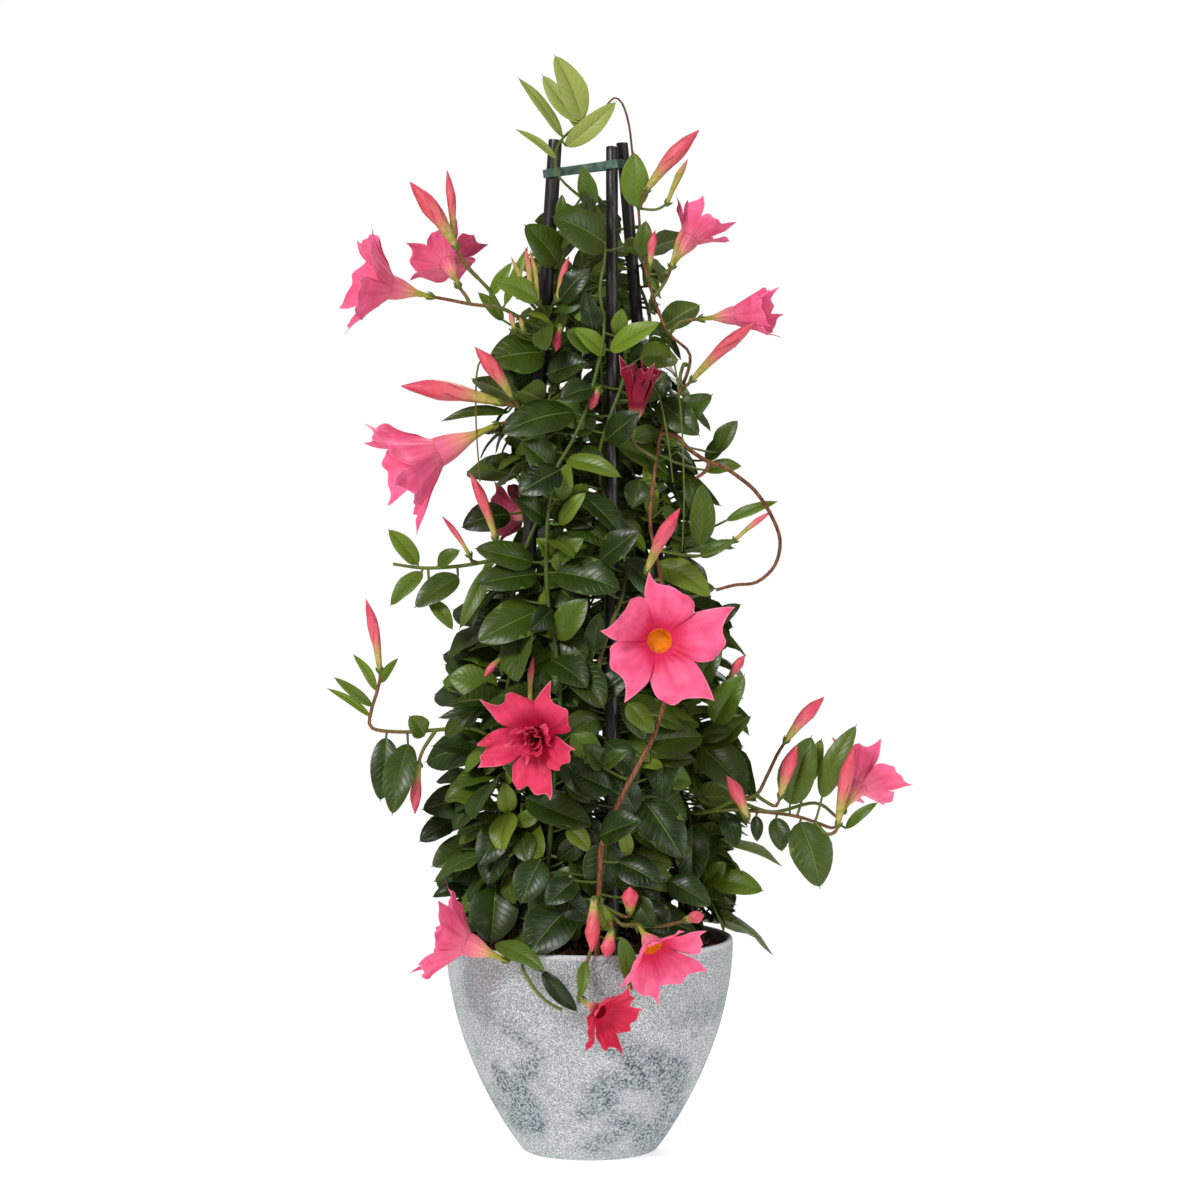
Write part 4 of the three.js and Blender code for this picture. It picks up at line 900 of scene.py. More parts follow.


# More leaves that show, kept clear of the solids: base, tip, width, lean and tone, partly youth and partly
# painted light.
COVER_STEPS = (4, 9, 14)  # how far in front of its stem a leaf may stand
COVER_LEAVES = [
    (668, 474, 616, 446, 30, 10, 0.3), (668, 520, 640, 518, 9, 4, 0.6), (640, 480, 632, 508, 18, 6, 0.1),
    (533, 562, 474, 548, 22, 8, 0.15), (560, 470, 518, 494, 26, 12, 0), (604, 768, 583, 744, 16, 6, 0.1),
    (603, 766, 628, 750, 12, 8, 0.2), (607, 842, 598, 897, 30, 12, 0), (618, 862, 663, 886, 24, 12, 0),
    (692, 826, 690, 888, 24, 12, 0), (574, 880, 545, 905, 20, 10, 0), (628, 856, 621, 824, 10, 6, 0.5),
    (640, 903, 668, 935, 22, 10, 0), (641, 256, 646, 220, 13, 4, 0.2), (553, 325, 524, 311, 12, 6, 0.7),
    (606, 440, 640, 412, 22, 6, 0), (600, 560, 640, 530, 22, 8, 0), (604, 590, 590, 545, 20, 8, 0),
    (596, 700, 634, 672, 18, 2, 0), (606, 742, 640, 780, 24, 10, 0), (612, 790, 570, 770, 24, 8, 0),
    (600, 836, 642, 820, 24, 10, 0), (560, 896, 606, 930, 26, 10, 0), (540, 700, 560, 748, 22, 4, 0),
    (636, 812, 610, 772, 22, 6, 0), (668, 880, 712, 906, 22, 10, 0), (540, 860, 520, 905, 24, 12, 0),
    (520, 590, 500, 545, 20, 6, 0.1), (640, 400, 668, 372, 20, 6, 0.1), (530, 400, 508, 366, 18, 6, 0),
    (592, 388, 560, 400, 20, 8, 0), (600, 470, 575, 440, 20, 4, 0), (626, 560, 668, 600, 22, 2, 0),
    (560, 300, 590, 268, 18, 6, 0), (640, 340, 610, 376, 18, 4, 0), (660, 400, 700, 436, 22, 8, 0.1),
    (540, 780, 500, 760, 20, 2, 0), (700, 556, 736, 540, 11, 6, 0.4), (716, 452, 738, 420, 14, 4, 0.2),
    (706, 470, 742, 466, 12, 4, 0.3), (594, 350, 566, 330, 18, 8, 0.2), (548, 540, 586, 566, 22, 10, 0.3),
    (552, 610, 520, 640, 24, 10, 0), (552, 660, 590, 690, 26, 12, 0), (560, 760, 600, 800, 24, 10, 0),
    (556, 400, 584, 430, 20, 8, 0.3), (556, 720, 530, 760, 24, 10, 0), (660, 700, 700, 660, 22, 4, 0),
    (690, 690, 722, 640, 20, 6, 0.1)]


def grow_cover_leaf(shapes, leaf):
    """A leaf of the table at the first place near its own that is clear."""
    u0, v0, u1, v1, width, lean, tone = leaf
    for forward in COVER_STEPS:
        y = stem_depth(u0, v0) - forward
        base = place((u0, v0, y))
        name, root = nearest_route(base, list(VINES))
        for push, twist, size in NUDGES:
            tip = base + (place((u1, v1, y - lean - push)) - base) * size
            along = unit(tip - base)
            face = turned(across(along, FACING), along, twist)
            if is_clear(leaf_top(base, tip, width * size, face, dice(u0 * v0))[0]):
                grow_leaf(shapes[name], root, base, tip, width * size, face, tone, dice(u0 * v0))
                return


VINE_FOOT = 2.1  # a vine's radius in the soil
leafy = {name: Shape() for name in VINES}
luck = dice(4242)
for name, (route, seed, tip, woody_foot, woody_tip, _) in VINES.items():
    grow_stem(leafy[name], route, 7, (VINE_FOOT, 0.8 * tip), (woody_foot, woody_tip - woody_foot),
              (0.05, 0.4), 10, 0.06, seed)
for leaf in FRONT_LEAVES:
    grow_front_leaf(leafy, leaf, list(VINES), luck)
for name, (_, seed, _, _, _, paired) in VINES.items():
    if paired:
        grow_pairs(leafy, name, seed, luck)
for leaf in COVER_LEAVES:
    grow_cover_leaf(leafy, leaf)
for shortest, longest, apart in CROWD_PASSES:
    for name, (_, seed, *_) in VINES.items():
        draw = dice(seed * 101 + shortest)
        for root in roots_along(routes[name], CROWD_FIRST, apart):
            grow_crowd_leaf(leafy[name], root, shortest, longest, draw)


# ---------- leaf, stem and bark finishes ----------
# A mandevilla leaf is dark and glossy above with a pale midrib, and matt olive below.
# Young leaves are a bright yellow green, and the same paler tone also paints light on leaves that catch it.
# Stems go from green to brown bark.
def leaf_lines(across_leaf, along_leaf):
    """How far a point of a leaf is from its rib, and the side veins."""
    from_rib = (across_leaf * 2 - 1).math("ABSOLUTE")
    ways = (along_leaf * 9 - from_rib * 2.1).math("FRACT")
    return from_rib, (ways - 0.5).math("ABSOLUTE").rise(0.14, 0.02) * from_rib.rise(0.98, 0.7)


leaf_upper = Finish("leaf_upper", roughness=0.34, specular_ior_level=0.38)
across_leaf, along_leaf, youth_and_painted_light, luck_mark = leaf_upper.marks()
from_rib, veins = leaf_lines(across_leaf, along_leaf)
cloudy = leaf_upper.noise(9, 3.0)
green = leaf_upper.mix(luck_mark, tint(11, 26, 3), tint(36, 55, 8))
green = leaf_upper.mix(cloudy.rise(0.35, 0.75) * 0.5, green, tint(46, 70, 12))
# The young, paler greens stand for young growth and also for painted light on leaves that catch it.
young = leaf_upper.mix(luck_mark, tint(104, 136, 22), tint(146, 170, 48))
green = leaf_upper.mix(youth_and_painted_light, green, young)
green = leaf_upper.mix(youth_and_painted_light.rise(0.8, 0.95), green, tint(150, 162, 78))
green = leaf_upper.mix(veins * (youth_and_painted_light * -0.1 + 0.12), green, tint(88, 118, 46))
rib = from_rib.rise(0.04, 0.012) * along_leaf.rise(1.0, 0.86)
rim = from_rib.rise(0.965, 0.995)
green = leaf_upper.mix(rib * 0.6 + rim * 0.3, green, tint(126, 152, 70))
leaf_upper.feed("Base Color", green)
leaf_upper.feed("Roughness", cloudy * 0.16 + 0.26 + youth_and_painted_light * 0.12)
leaf_upper.relief(veins * -0.5 + rib * -1.0 + cloudy * 0.8, 0.35)

leaf_under = Finish("leaf_under", roughness=0.55, specular_ior_level=0.3)
across_leaf, along_leaf, youth_and_painted_light, luck_mark = leaf_under.marks()
from_rib, veins = leaf_lines(across_leaf, along_leaf)
olive = leaf_under.mix(luck_mark, tint(62, 84, 28), tint(88, 108, 44))
olive = leaf_under.mix(youth_and_painted_light, olive, tint(136, 158, 66))
rib = from_rib.rise(0.10, 0.04)
leaf_under.feed("Base Color", leaf_under.mix(rib * 0.8 + veins * 0.35, olive, tint(140, 158, 84)))
leaf_under.relief(veins * 0.7 + rib + leaf_under.noise(5, 3.0) * 0.5, 0.3)

stem_skin = Finish("stem_skin", roughness=0.48, specular_ior_level=0.35)
woody, bright, _, _ = stem_skin.marks()
fibre = stem_skin.streaks(700, 90, 3.0)
living = stem_skin.mix(bright, tint(50, 70, 20), tint(108, 130, 46))
bark = stem_skin.mix(fibre.rise(0.3, 0.7), tint(74, 38, 22), tint(146, 90, 52))
woodiness = (woody + fibre * 0.4 - 0.2).rise(0.25, 0.75)
stem_skin.feed("Base Color", stem_skin.mix(woodiness, living, bark))
stem_skin.relief(fibre, 0.35)

for name, shape in leafy.items():
    vine = shape.piece(name + "_leafy", stem_skin, leaf_upper, leaf_under)
    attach(vine, "root")
    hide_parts(name)


# ---------- blooms ----------
# Each flower is one thin corolla: a narrow tube that widens to a funnel, and five broad
# petals, each slanted to a point on the same side like a pinwheel. Green sepals hold it.
TUBE_RADIUS, MOUTH_RADIUS, FLOWER_WIDTH, PETAL_THICK, PETAL_ROOM = 1.9, 10.5, 87.0, 0.7, 0.76
FOLDED = {  # how far each petal is folded along its middle
    "bloom_centre_left": (0.1, 0.9, 0.2, 0.8, 0.0), "bloom_high_right_a": (0.9, 0.7, 0.2, 0.4, 0.9),
    "bloom_high_right_b": (0.6, 0.3, 0.5, 0.7, 0.4),
    "bloom_base_left": (0.6, 0.2, 0.7, 0.1, 0.5), "bloom_base_drop": (0.5, 0.0, 0.6, 0.2, 0.3),
    "bloom_mid_left": (0.0, 0.5, 0.1, 0.6, 0.2), "bloom_spray": (0.5, 0.2, 0.6, 0.0, 0.7)}
NODDING = {  # petals near this bearing lean in by these degrees, the ones across are longer
    "bloom_centre": (45, 30, 0.24), "bloom_centre_left": (300, 12, 0.1)}
CRUMPLED = {  # petals folded small in the throat: how open, how wide beside the flower, folds
    "bloom_centre_left": ((34, 0.62, (0.8, 0.3, 0.9, 0.4, 0.6)), (10, 0.46, (0.2, 0.7, 0.4, 0.8, 0.5))),
    "bloom_wilted": ((6, 0.7, (0.9, 0.6, 0.9, 0.5, 0.8)),)}
RUFFLED = {"bloom_centre_left": 3.0, "bloom_centre": 1.3, "bloom_base_drop": 2.0, "bloom_wilted": 2.4,
           "bloom_base_right": 1.1}
# base and mouth are the ends of the tube, then how far the petals spread, the turn of the
# first petal, the width of the open flower, and how deep its rose is.
BLOOMS = {
    "bloom_high_left": ((433, 297, -31), (386, 286, -38), 52, 20, 87, 0.0),
    "bloom_high_left_back": ((459, 287, -26), (447, 261, -4), 76, 50, 58, 0.1),
    "bloom_high_right_a": ((671, 268, -10), (693, 236, -2), 54, 20, 62, 0.0),
    "bloom_high_right_b": ((699, 319, -27), (740, 315, -34), 29, 10, 68, 0.05),
    "bloom_mid_left": ((498, 424, -36), (430, 456, -46), 42, 22, 106, 0.0),
    "bloom_behind_leaf": ((534, 520, 2), (516, 514, 14), 66, 10, 50, 0.0),
    "bloom_centre": ((656, 646, -76), (660, 640, -118), 84, 56, 86, 0.12),
    "bloom_centre_left": ((552, 726, -80), (535, 738, -118), 74, 30, 76, 0.8),
    "bloom_spray": ((842, 813, -34), (858, 785, -14), 66, 12, 70, 0.1),
    "bloom_base_left": ((508, 961, -103), (462, 942, -100), 58, 0, 84, 0.2),
    "bloom_base_right": ((638, 926, -107), (655, 949, -122), 60, 18, 74, 0.05),
    "bloom_base_drop": ((579, 998, -115), (603, 1014, -132), 68, 40, 56, 1.0),
    "bloom_wilted": ((632, 436, -52), (638, 398, -58), 14, 0, 64, 1.3),
}
TUBE_END, PETAL_END = 0.9, 0.92  # the last rows of a tube and of a petal
TUBE_ROWS = np.array([0, 0.1, 0.2, 0.34, 0.44, 0.54, 0.62, 0.72, 0.82, TUBE_END])
TUBE_SWELL = np.array([0.18, 0.17, 0.18, 0.235, 0.36, 0.51, 0.63, 0.74, 0.81, 0.85])
PETAL_ROWS = np.array([0, 0.05, 0.12, 0.21, 0.32, 0.43, 0.54, 0.64, 0.73, 0.81, 0.87, PETAL_END])
# Half a petal's width at those rows, on the side of its point and on its round side.
PETAL_LEFT = np.interp(PETAL_ROWS, [0, 0.1, 0.25, 0.4, 0.52, 0.7, 0.85, PETAL_END],
                       [5.5, 9.4, 14.6, 17.4, 18.6, 19.2, 18.8, 18.0])
PETAL_RIGHT = np.interp(PETAL_ROWS, [0, 0.1, 0.25, 0.4, 0.52, 0.7, 0.82, PETAL_END],
                        [5.5, 9.2, 14.0, 16.6, 17.6, 17.4, 16.2, 13.2])
PETAL_COLS = 14
SPAN = np.linspace(-1, 1, PETAL_COLS + 1)
PETAL_HOLD = 0.22  # the share of a petal over which it leaves the ring of the mouth
CORE_RUFFLE, CORE_TURN = 3.0, 40  # of the small petals in a crumpled throat
OUTSIDE, INSIDE, SEPAL = 0, 1, 2  # the finishes of a bloom


def petal_sheet(base, along, outward, tube_length, scale, opened, reach, ruffle, fold, draw):
    """One petal's upper face as a grid; its first row is the mouth of the tube."""
    side = np.cross(along, outward)
    length = (FLOWER_WIDTH / 2 - 7) * scale * reach
    from_axis = MOUTH_RADIUS * scale * TUBE_SWELL[-1]
    centre = base + along * tube_length * TUBE_END + outward * from_axis
    waves, phase, curl, sway = draw(2.2, 3.6), draw(0, 6.3), draw(0.4, 1.6), draw(-1, 1)
    opened = opened + ruffle * 5 * draw(-1, 1)
    grid = np.empty((len(PETAL_ROWS), PETAL_COLS + 1, 3))
    overs = np.empty_like(grid)
    reached = 0.0
    for i, t in enumerate(PETAL_ROWS):
        lean = math.radians(opened) * mix(0.55, 1.15, (t + reached) / 2)
        ahead = along * math.cos(lean) + outward * math.sin(lean)
        centre = centre + ahead * (t - reached) * length
        from_axis += (t - reached) * length * math.sin(lean)
        reached = t
        over = np.cross(ahead, side)
        out = t / PETAL_END
        room = from_axis * PETAL_ROOM / scale
        half = np.minimum(np.where(SPAN > 0, PETAL_LEFT[i], PETAL_RIGHT[i]), room)
        x = half * SPAN * (1 - 0.42 * fold * out)
        x = x + out ** 3 * np.where(SPAN > 0, 2.2 * SPAN ** 6, 0) + sway * out * out
        slant = out ** 3 * np.where(SPAN > 0, 7.5 * SPAN ** 5, -4.5 * np.abs(SPAN) ** 3)
        slant = slant + out ** 6 * 0.9 * ruffle * np.sin(SPAN * 5 + phase)
        lift = 2.1 * SPAN * out * (1 - 0.3 * out) - curl * SPAN ** 2 * out
        lift = lift - 0.8 * np.exp(-(SPAN / 0.16) ** 2) * math.sin(math.pi * min(1, out * 1.1))
        lift = lift + fold * out * 9 * np.abs(SPAN) ** 1.3
        wave = np.sin(waves * 3.1 * out + phase + SPAN * 2.2)
        crease = 0.7 * np.sin(SPAN * 7 + phase)
        lift = lift + ruffle * out ** 2 * (1.4 * np.abs(SPAN) ** 1.5 * wave + crease)
        flat = (centre + np.outer(x, side) * scale + np.outer(slant, ahead) * scale
                + np.outer(lift, over) * scale)
        angles = SPAN * math.pi / 5
        axis = base + along * np.dot(centre - base, along)
        radius = np.linalg.norm(centre - axis)
        mouth_ring = axis + radius * ring(angles, outward, side)
        hold = min(1.0, t / PETAL_HOLD)
        hold = hold * hold * (3 - 2 * hold)
        grid[i] = mix(mouth_ring, flat, hold)
        overs[i] = over
    return grid, overs


def grow_sepals(shape, base, along, size, draw, skin):
    """The little green cup of five pointed sepals under a flower or bud."""
    first = across(along, UP)
    second = np.cross(along, first)
    cup = [base - along * 1.6, base, base + along * 1.4]
    tube(shape, cup, [1.3, 2.1, 1.7], (0.35, 0.5, 0.5, 0), skin, around=10)
    for k in range(5):
        angle = 2 * math.pi * k / 5 + draw(-0.2, 0.2)
        out = first * math.cos(angle) + second * math.sin(angle)
        tip = base + along * size * draw(0.8, 1.1) + out * draw(2.6, 3.6)
        route = [base + out * 1.2, base + along * size * 0.4 + out * 2.5, tip]
        tube(shape, route, [1.0, 0.8, 0.15], (0.5 * draw(), 0.5, draw(), 0), skin, around=5)


def grow_corolla(shape, base, mouth, opened, turn, width, rose, ruffle, folds, nod, draw):
    """Tube, lining and five petals in one thin skin, joined at the mouth."""
    along = mouth - base
    tube_length = np.linalg.norm(along)
    along = along / tube_length
    scale = width / FLOWER_WIDTH
    first = across(along, UP)
    second = np.cross(along, first)
    petals, ring_angles = [], []
    for i in range(5):
        angle = math.radians(turn + 72 * i)
        outward = first * math.cos(angle) + second * math.sin(angle)
        facing = math.cos(angle - math.radians(nod[0]))
        leaning = opened - nod[1] * max(0, facing)
        reach = 1 + nod[2] * max(0, -facing)
        petals.append(petal_sheet(base, along, outward, tube_length, scale, leaning, reach, ruffle,
                                  folds[i], draw))
        ring_angles += [angle + s * math.pi / 5 for s in SPAN[:-1]]
    ring_angles = np.array(ring_angles)
    around = len(ring_angles)
    circle = ring(ring_angles, first, second)
    petal_angle = ring_angles - math.radians(turn)

    def tube_rows(shares, inset):
        """The points and marks of the tube at shares of its length, inset from its skin."""
        rows = []
        for t in shares:
            swell = np.interp(t, TUBE_ROWS, TUBE_SWELL) * MOUTH_RADIUS
            swell = max(swell * scale if t > 0.3 else mix(TUBE_RADIUS, swell * scale, t / 0.3), 1.0) - inset
            lobes = 1 + 0.05 * np.cos(5 * petal_angle) * max(0, (t - 0.45) / 0.45) * (t < 0.89)
            rows.append(base + along * t * tube_length + circle * (swell * lobes)[:, None])
        mark = marks_of((shares / TUBE_END)[:, None], 0, 0.5 + 0.5 * np.cos(5 * petal_angle), rose)
        return np.concatenate(rows), mark.reshape(-1, 4)

    inner_shares = TUBE_ROWS[:6:-1]
    sleeves = (tube_rows(TUBE_ROWS, 0), tube_rows(inner_shares, PETAL_THICK))
    points, marks = (list(part) for part in zip(*sleeves))
    faces = ring_faces(len(TUBE_ROWS), around, caps=False)
    faces.append(tuple(range(around - 1, -1, -1)))
    skins = [OUTSIDE] * len(faces)
    start = len(TUBE_ROWS) * around
    tunnel = ring_faces(len(inner_shares), around, caps=False)
    faces += [tuple(start + corner for corner in face) for face in tunnel]
    faces.append(tuple(start + (len(inner_shares) - 1) * around + k for k in range(around)))
    skins += [INSIDE] * (len(tunnel) + 1)

    count = start + len(inner_shares) * around
    lip_out = (len(TUBE_ROWS) - 1) * around
    for i, (grid, overs) in enumerate(petals):
        rows, cols = grid.shape[:2]
        root = [(i * PETAL_COLS + k) % around for k in range(cols)]
        upper = np.empty((rows, cols), int)
        upper[0] = [start + k for k in root]
        upper[1:] = count + np.arange((rows - 1) * cols).reshape(rows - 1, cols)
        mark = marks_of(1, (PETAL_ROWS / PETAL_END)[:, None], (SPAN + 1) / 2, rose)
        points.append(grid[1:].reshape(-1, 3))
        marks.append(mark[1:].reshape(-1, 4))
        count += (rows - 1) * cols
        lower = upper.copy()
        lower[0] = [lip_out + k for k in root]
        thin = PETAL_THICK * np.sqrt(1 - (SPAN[1:-1] * 0.98) ** 2)[None, :, None]
        below = grid[1:-1, 1:-1] - overs[1:-1, 1:-1] * thin
        lower[1:-1, 1:-1] = count + np.arange((rows - 2) * (cols - 2)).reshape(rows - 2, cols - 2)
        points.append(below.reshape(-1, 3))
        marks.append(mark[1:-1, 1:-1].reshape(-1, 4))
        count += (rows - 2) * (cols - 2)
        for sheet, skin, way in ((upper, INSIDE, 1), (lower, OUTSIDE, -1)):
            quads = np.stack([sheet[:-1, :-1], sheet[1:, :-1], sheet[1:, 1:], sheet[:-1, 1:]], axis=-1)
            quads = quads.reshape(-1, 4)[:, ::-way]
            faces += quads.tolist()
            skins += [skin] * len(quads)
        faces.append((int(lower[0, 0]), int(upper[1, 0]), int(upper[0, 0])))
        faces.append((int(lower[0, -1]), int(upper[0, -1]), int(upper[1, -1])))
        skins += [OUTSIDE, OUTSIDE]
    shape.add(np.concatenate(points), faces, np.concatenate(marks), skins)


petal_inside = Finish("petal_inside", roughness=0.5, specular_ior_level=0.25)
petal_outside = Finish("petal_outside", roughness=0.5, specular_ior_level=0.25)
for finish in (petal_inside, petal_outside):
    up_tube, up_petal, over_petal, rose = finish.marks()
    edge = (over_petal * 2 - 1).math("ABSOLUTE")
    lines = (over_petal * 30 + finish.noise(12, 2.0) * 3).math("SINE") * 0.5 + 0.5
    cloud = finish.noise(11, 3.0)
    body = finish.mix(up_petal.rise(0.0, 0.8), tint(230, 60, 110), tint(255, 112, 156))
    body = finish.mix(cloud.rise(0.35, 0.7) * 0.75, body, tint(228, 74, 118))
    body = finish.mix(lines * 0.22 * up_petal.rise(1.1, 0.15), body, tint(198, 34, 84))
    deep = finish.mix(up_petal.rise(0.0, 0.6), tint(136, 4, 30), tint(218, 30, 72))
    deep = finish.mix(cloud.rise(0.35, 0.65) * 0.5 + lines * 0.2, deep, tint(172, 8, 44))
    deep = finish.mix(rose.rise(1.05, 1.25), deep, finish.mix(cloud, tint(92, 6, 26), tint(158, 18, 52)))
    body = finish.mix(rose, body, deep)
    rim = (edge.rise(0.95, 1.0) * up_petal.rise(0.4, 0.8)).math("MAXIMUM", up_petal.rise(0.975, 1.0))
    body = finish.mix(rim * 0.45, body, tint(252, 170, 194))
    if finish is petal_inside:
        star = (up_petal + edge * -0.14).rise(0.34, 0.0)
        body = finish.mix(star * 0.85, body, tint(208, 22, 70))
        # The throat is yellow and paler deeper in the tube: partly its own colour, partly painted light
        # against the shade inside the tube.
        throat = finish.mix(up_tube.rise(0.6, 0.96), tint(250, 172, 14), tint(240, 140, 22))
        throat = finish.mix(rose.rise(0.5, 0.8), throat, tint(166, 8, 40))
        body = finish.mix((up_tube + up_petal).rise(1.03, 0.97), body, throat)
    else:
        body = finish.mix(up_petal.rise(0.6, 0.0) * 0.4 * rose.rise(1.0, 0.2), body, tint(252, 150, 170))
        sleeve = finish.mix(up_tube.rise(0.30, 0.62), tint(186, 182, 70), tint(244, 158, 136))
        body = finish.mix(up_tube.rise(0.95, 0.5), body, sleeve)
    finish.feed("Base Color", body)
    finish.feed("Roughness", cloud * 0.2 + 0.42)
    finish.relief(lines * 0.4 + cloud * 1.6 + finish.noise(5, 2.0) * 0.5, 0.5)

for name, (base, mouth, opened, turn, width, rose) in BLOOMS.items():
    bloom = Shape()
    draw = dice(sum(map(ord, name)) * 31)
    base, mouth = place(base), place(mouth)
    folds = FOLDED.get(name, (0, 0, 0, 0, 0))
    nod = NODDING.get(name, (0, 0, 0))
    ruffle = RUFFLED.get(name, 1.0)
    grow_corolla(bloom, base, mouth, opened, turn, width, rose, ruffle, folds, nod, draw)
    for opening, across_share, fold in CRUMPLED.get(name, ()):
        low, high = mix(base, mouth, 0.4), mix(base, mouth, 0.98)
        grow_corolla(bloom, low, high, opening, turn + CORE_TURN, width * across_share, rose,
                     CORE_RUFFLE, fold, (0, 0, 0), draw)
    grow_sepals(bloom, base, unit(mouth - base), 5.0, draw, SEPAL)
    flower = bloom.piece(name + "_corolla", petal_outside, petal_inside, stem_skin, crease=70)
    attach(flower, "root")
    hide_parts(name)
    "petal_rose" if rose > 0.5 else "petal"


# ---------- buds ----------
# A closed flower, furled round itself in a slim spindle: yellow green where it leaves its
# sepals and coral to pink towards the tip, with the petal edges as spiral lines.
BUDS = {  # base, tip and the radius at the fattest
    "bud_high_left_a": ((457, 248, -42), (410, 182, -48), 5.4),
    "bud_high_left_b": ((453, 240, -36), (447, 170, -34), 2.8),
    "bud_high_right_a": ((645, 192, -18), (699, 130, -26), 4.8),
    "bud_high_right_long": ((691, 381, -34), (757, 321, -64), 4.0),
    "bud_high_right_c": ((650, 268, -26), (655, 230, -28), 2.6),
    "bud_mid_left_a": ((502, 403, -38), (401, 386, -44), 6.0),
    "bud_mid_left_b": ((513, 398, -40), (475, 347, -44), 4.6),
    "bud_left_a": ((496, 540, -40), (470, 473, -46), 3.4),
    "bud_left_b": ((470, 556, -40), (442, 516, -44), 1.8),
    "bud_low_left_a": ((380, 672, -47), (366, 599, -50), 3.4),
    "bud_low_left_b": ((419, 763, -52), (415, 814, -56), 3.4),
    "bud_centre": ((646, 572, -64), (680, 508, -74), 4.4),
    "bud_spray_a": ((785, 742, -46), (824, 697, -52), 4.2),
    "bud_spray_b": ((780, 798, -51), (797, 745, -58), 4.2),
    "bud_spray_c": ((748, 818, -42), (727, 776, -50), 4.2),
    "bud_spray_d": ((838, 826, -50), (855, 744, -60), 4.4),
    "bud_base_a": ((630, 914, -101), (630, 887, -106), 5.0),
    "bud_base_b": ((612, 930, -112), (606, 958, -118), 4.4),
    "bud_base_c": ((684, 921, -96), (704, 915, -102), 3.8),
    "bud_right": ((728, 682, -10), (745, 655, -14), 3.0),
}
BUD_AROUND = 20
BUD_PLUMP = 1.2  # how much fatter a bud is than the radius in its row
FURLED, BUD_STEM = 0, 1  # the finishes of a bud
BUD_ROWS = np.array([0, 0.06, 0.14, 0.22, 0.3, 0.38, 0.46, 0.54, 0.62, 0.7, 0.78, 0.85, 0.91, 0.96,
                     0.99, 1.0])

furled = Finish("furled_bud", roughness=0.45, specular_ior_level=0.3)
up_bud, ridge, bud_luck, _ = furled.marks()
mottle = furled.noise(4, 3.0)
coral = furled.mix(up_bud.rise(0.35, 0.85), tint(234, 112, 122), tint(222, 66, 100))
coral = furled.mix(bud_luck * 0.5, coral, tint(206, 84, 84))
coral = furled.mix(mottle.rise(0.4, 0.7) * 0.4, coral, tint(222, 120, 118))
seam = ridge.rise(0.72, 0.97) * up_bud.rise(0.25, 0.5)
coral = furled.mix(seam * 0.6, coral, tint(140, 28, 46))
sheath = furled.mix(mottle.rise(0.3, 0.7), tint(146, 148, 56), tint(190, 168, 96))
furled.feed("Base Color", furled.mix((up_bud + mottle * 0.15).rise(0.56, 0.26), coral, sheath))
furled.relief(seam * -1.0 + mottle * 0.4, 0.3)


def grow_bud(shape, low, high, fat, ripe, draw):
    """A furled bud on its sepals; an unripe one stays green nearly to the tip."""
    along = unit(high - low)
    first = across(along, UP)
    second = np.cross(along, first)
    radii = np.interp(BUD_ROWS, [0, 0.15, 0.3, 0.46, 0.62, 0.74, 0.86, 0.94, 1],
                      [1.6, 0.45 * fat + 0.4, 0.62 * fat + 0.2, 0.86 * fat, fat, 0.88 * fat, 0.54 * fat,
                       0.27 * fat, 0.05 * fat])
    twist, luck_here = draw(2.6, 3.6), draw()
    angles = round_angles(BUD_AROUND)
    rows, marks = [], []
    for t, radius in zip(BUD_ROWS, radii):
        turn = (5 * angles / (2 * np.pi) - twist * t) % 1.0
        furl = 1 + 0.16 * (turn - 0.5) * min(1, max(0, (t - 0.2) / 0.3))
        bow = first * 0.03 * math.sin(math.pi * t) * np.linalg.norm(high - low) * draw(0.9, 1.0)
        circle = ring(angles, first, second)
        rows.append(mix(low, high, t) + bow + circle * (radius * furl)[:, None])
        marks.append(marks_of(t * ripe, turn, luck_here, 0))
    shape.add(np.concatenate(rows), ring_faces(len(BUD_ROWS), BUD_AROUND), np.concatenate(marks), FURLED)
    grow_sepals(shape, low, along, 4.2 * min(1, fat / 3), draw, BUD_STEM)


for name, (base, tip, fat) in BUDS.items():
    bud = Shape()
    grow_bud(bud, place(base), place(tip), fat * BUD_PLUMP, 1.0, dice(sum(map(ord, name)) * 17))
    closed = bud.piece(name + "_furled", furled, stem_skin, crease=60)
    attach(closed, "root")
    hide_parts(name)

YOUNG_BUDS = [  # base, tip, radius at the fattest and ripeness
    ((528, 300, -36), (511, 257, -40), 2.0, 0.3), ((531, 302, -36), (525, 247, -38), 2.4, 0.5),
    ((538, 304, -34), (530, 250, -36), 2.2, 0.35), ((557, 300, -30), (569, 256, -34), 2.6, 0.8),
    ((514, 331, -34), (510, 312, -36), 2.2, 0.5), ((523, 332, -34), (520, 317, -35), 2.0, 0.4),
    ((667, 204, -20), (688, 159, -30), 2.6, 0.4), ((671, 268, -20), (686, 222, -22), 2.2, 0.6),
    ((530, 704, -62), (533, 656, -64), 2.4, 0.65), ((503, 656, -50), (484, 677, -54), 2.8, 0.8),
    ((734, 541, -28), (772, 511, -30), 2.2, 0.7), ((560, 326, -36), (556, 352, -40), 3.4, 1.4),
    ((600, 388, -44), (590, 410, -48), 3.6, 1.4), ((594, 898, -112), (592, 952, -120), 5.2, 1.2)]
young = Shape()
for base, tip, fat, ripe in YOUNG_BUDS:
    draw = dice(base[0] * base[1])
    foot = place(base)
    root = nearest_route(foot, list(VINES))[1]
    droop = mix(root, foot, 0.6) - UP * 0.12 * np.linalg.norm(foot - root)
    tube(young, smooth([root, droop, foot], 4), 1.0, (0.35, 0.6, draw(), 0), BUD_STEM)
    grow_bud(young, foot, place(tip), fat, ripe, draw)
young_buds = young.piece("young_buds", furled, stem_skin, crease=60)
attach(young_buds, "root")


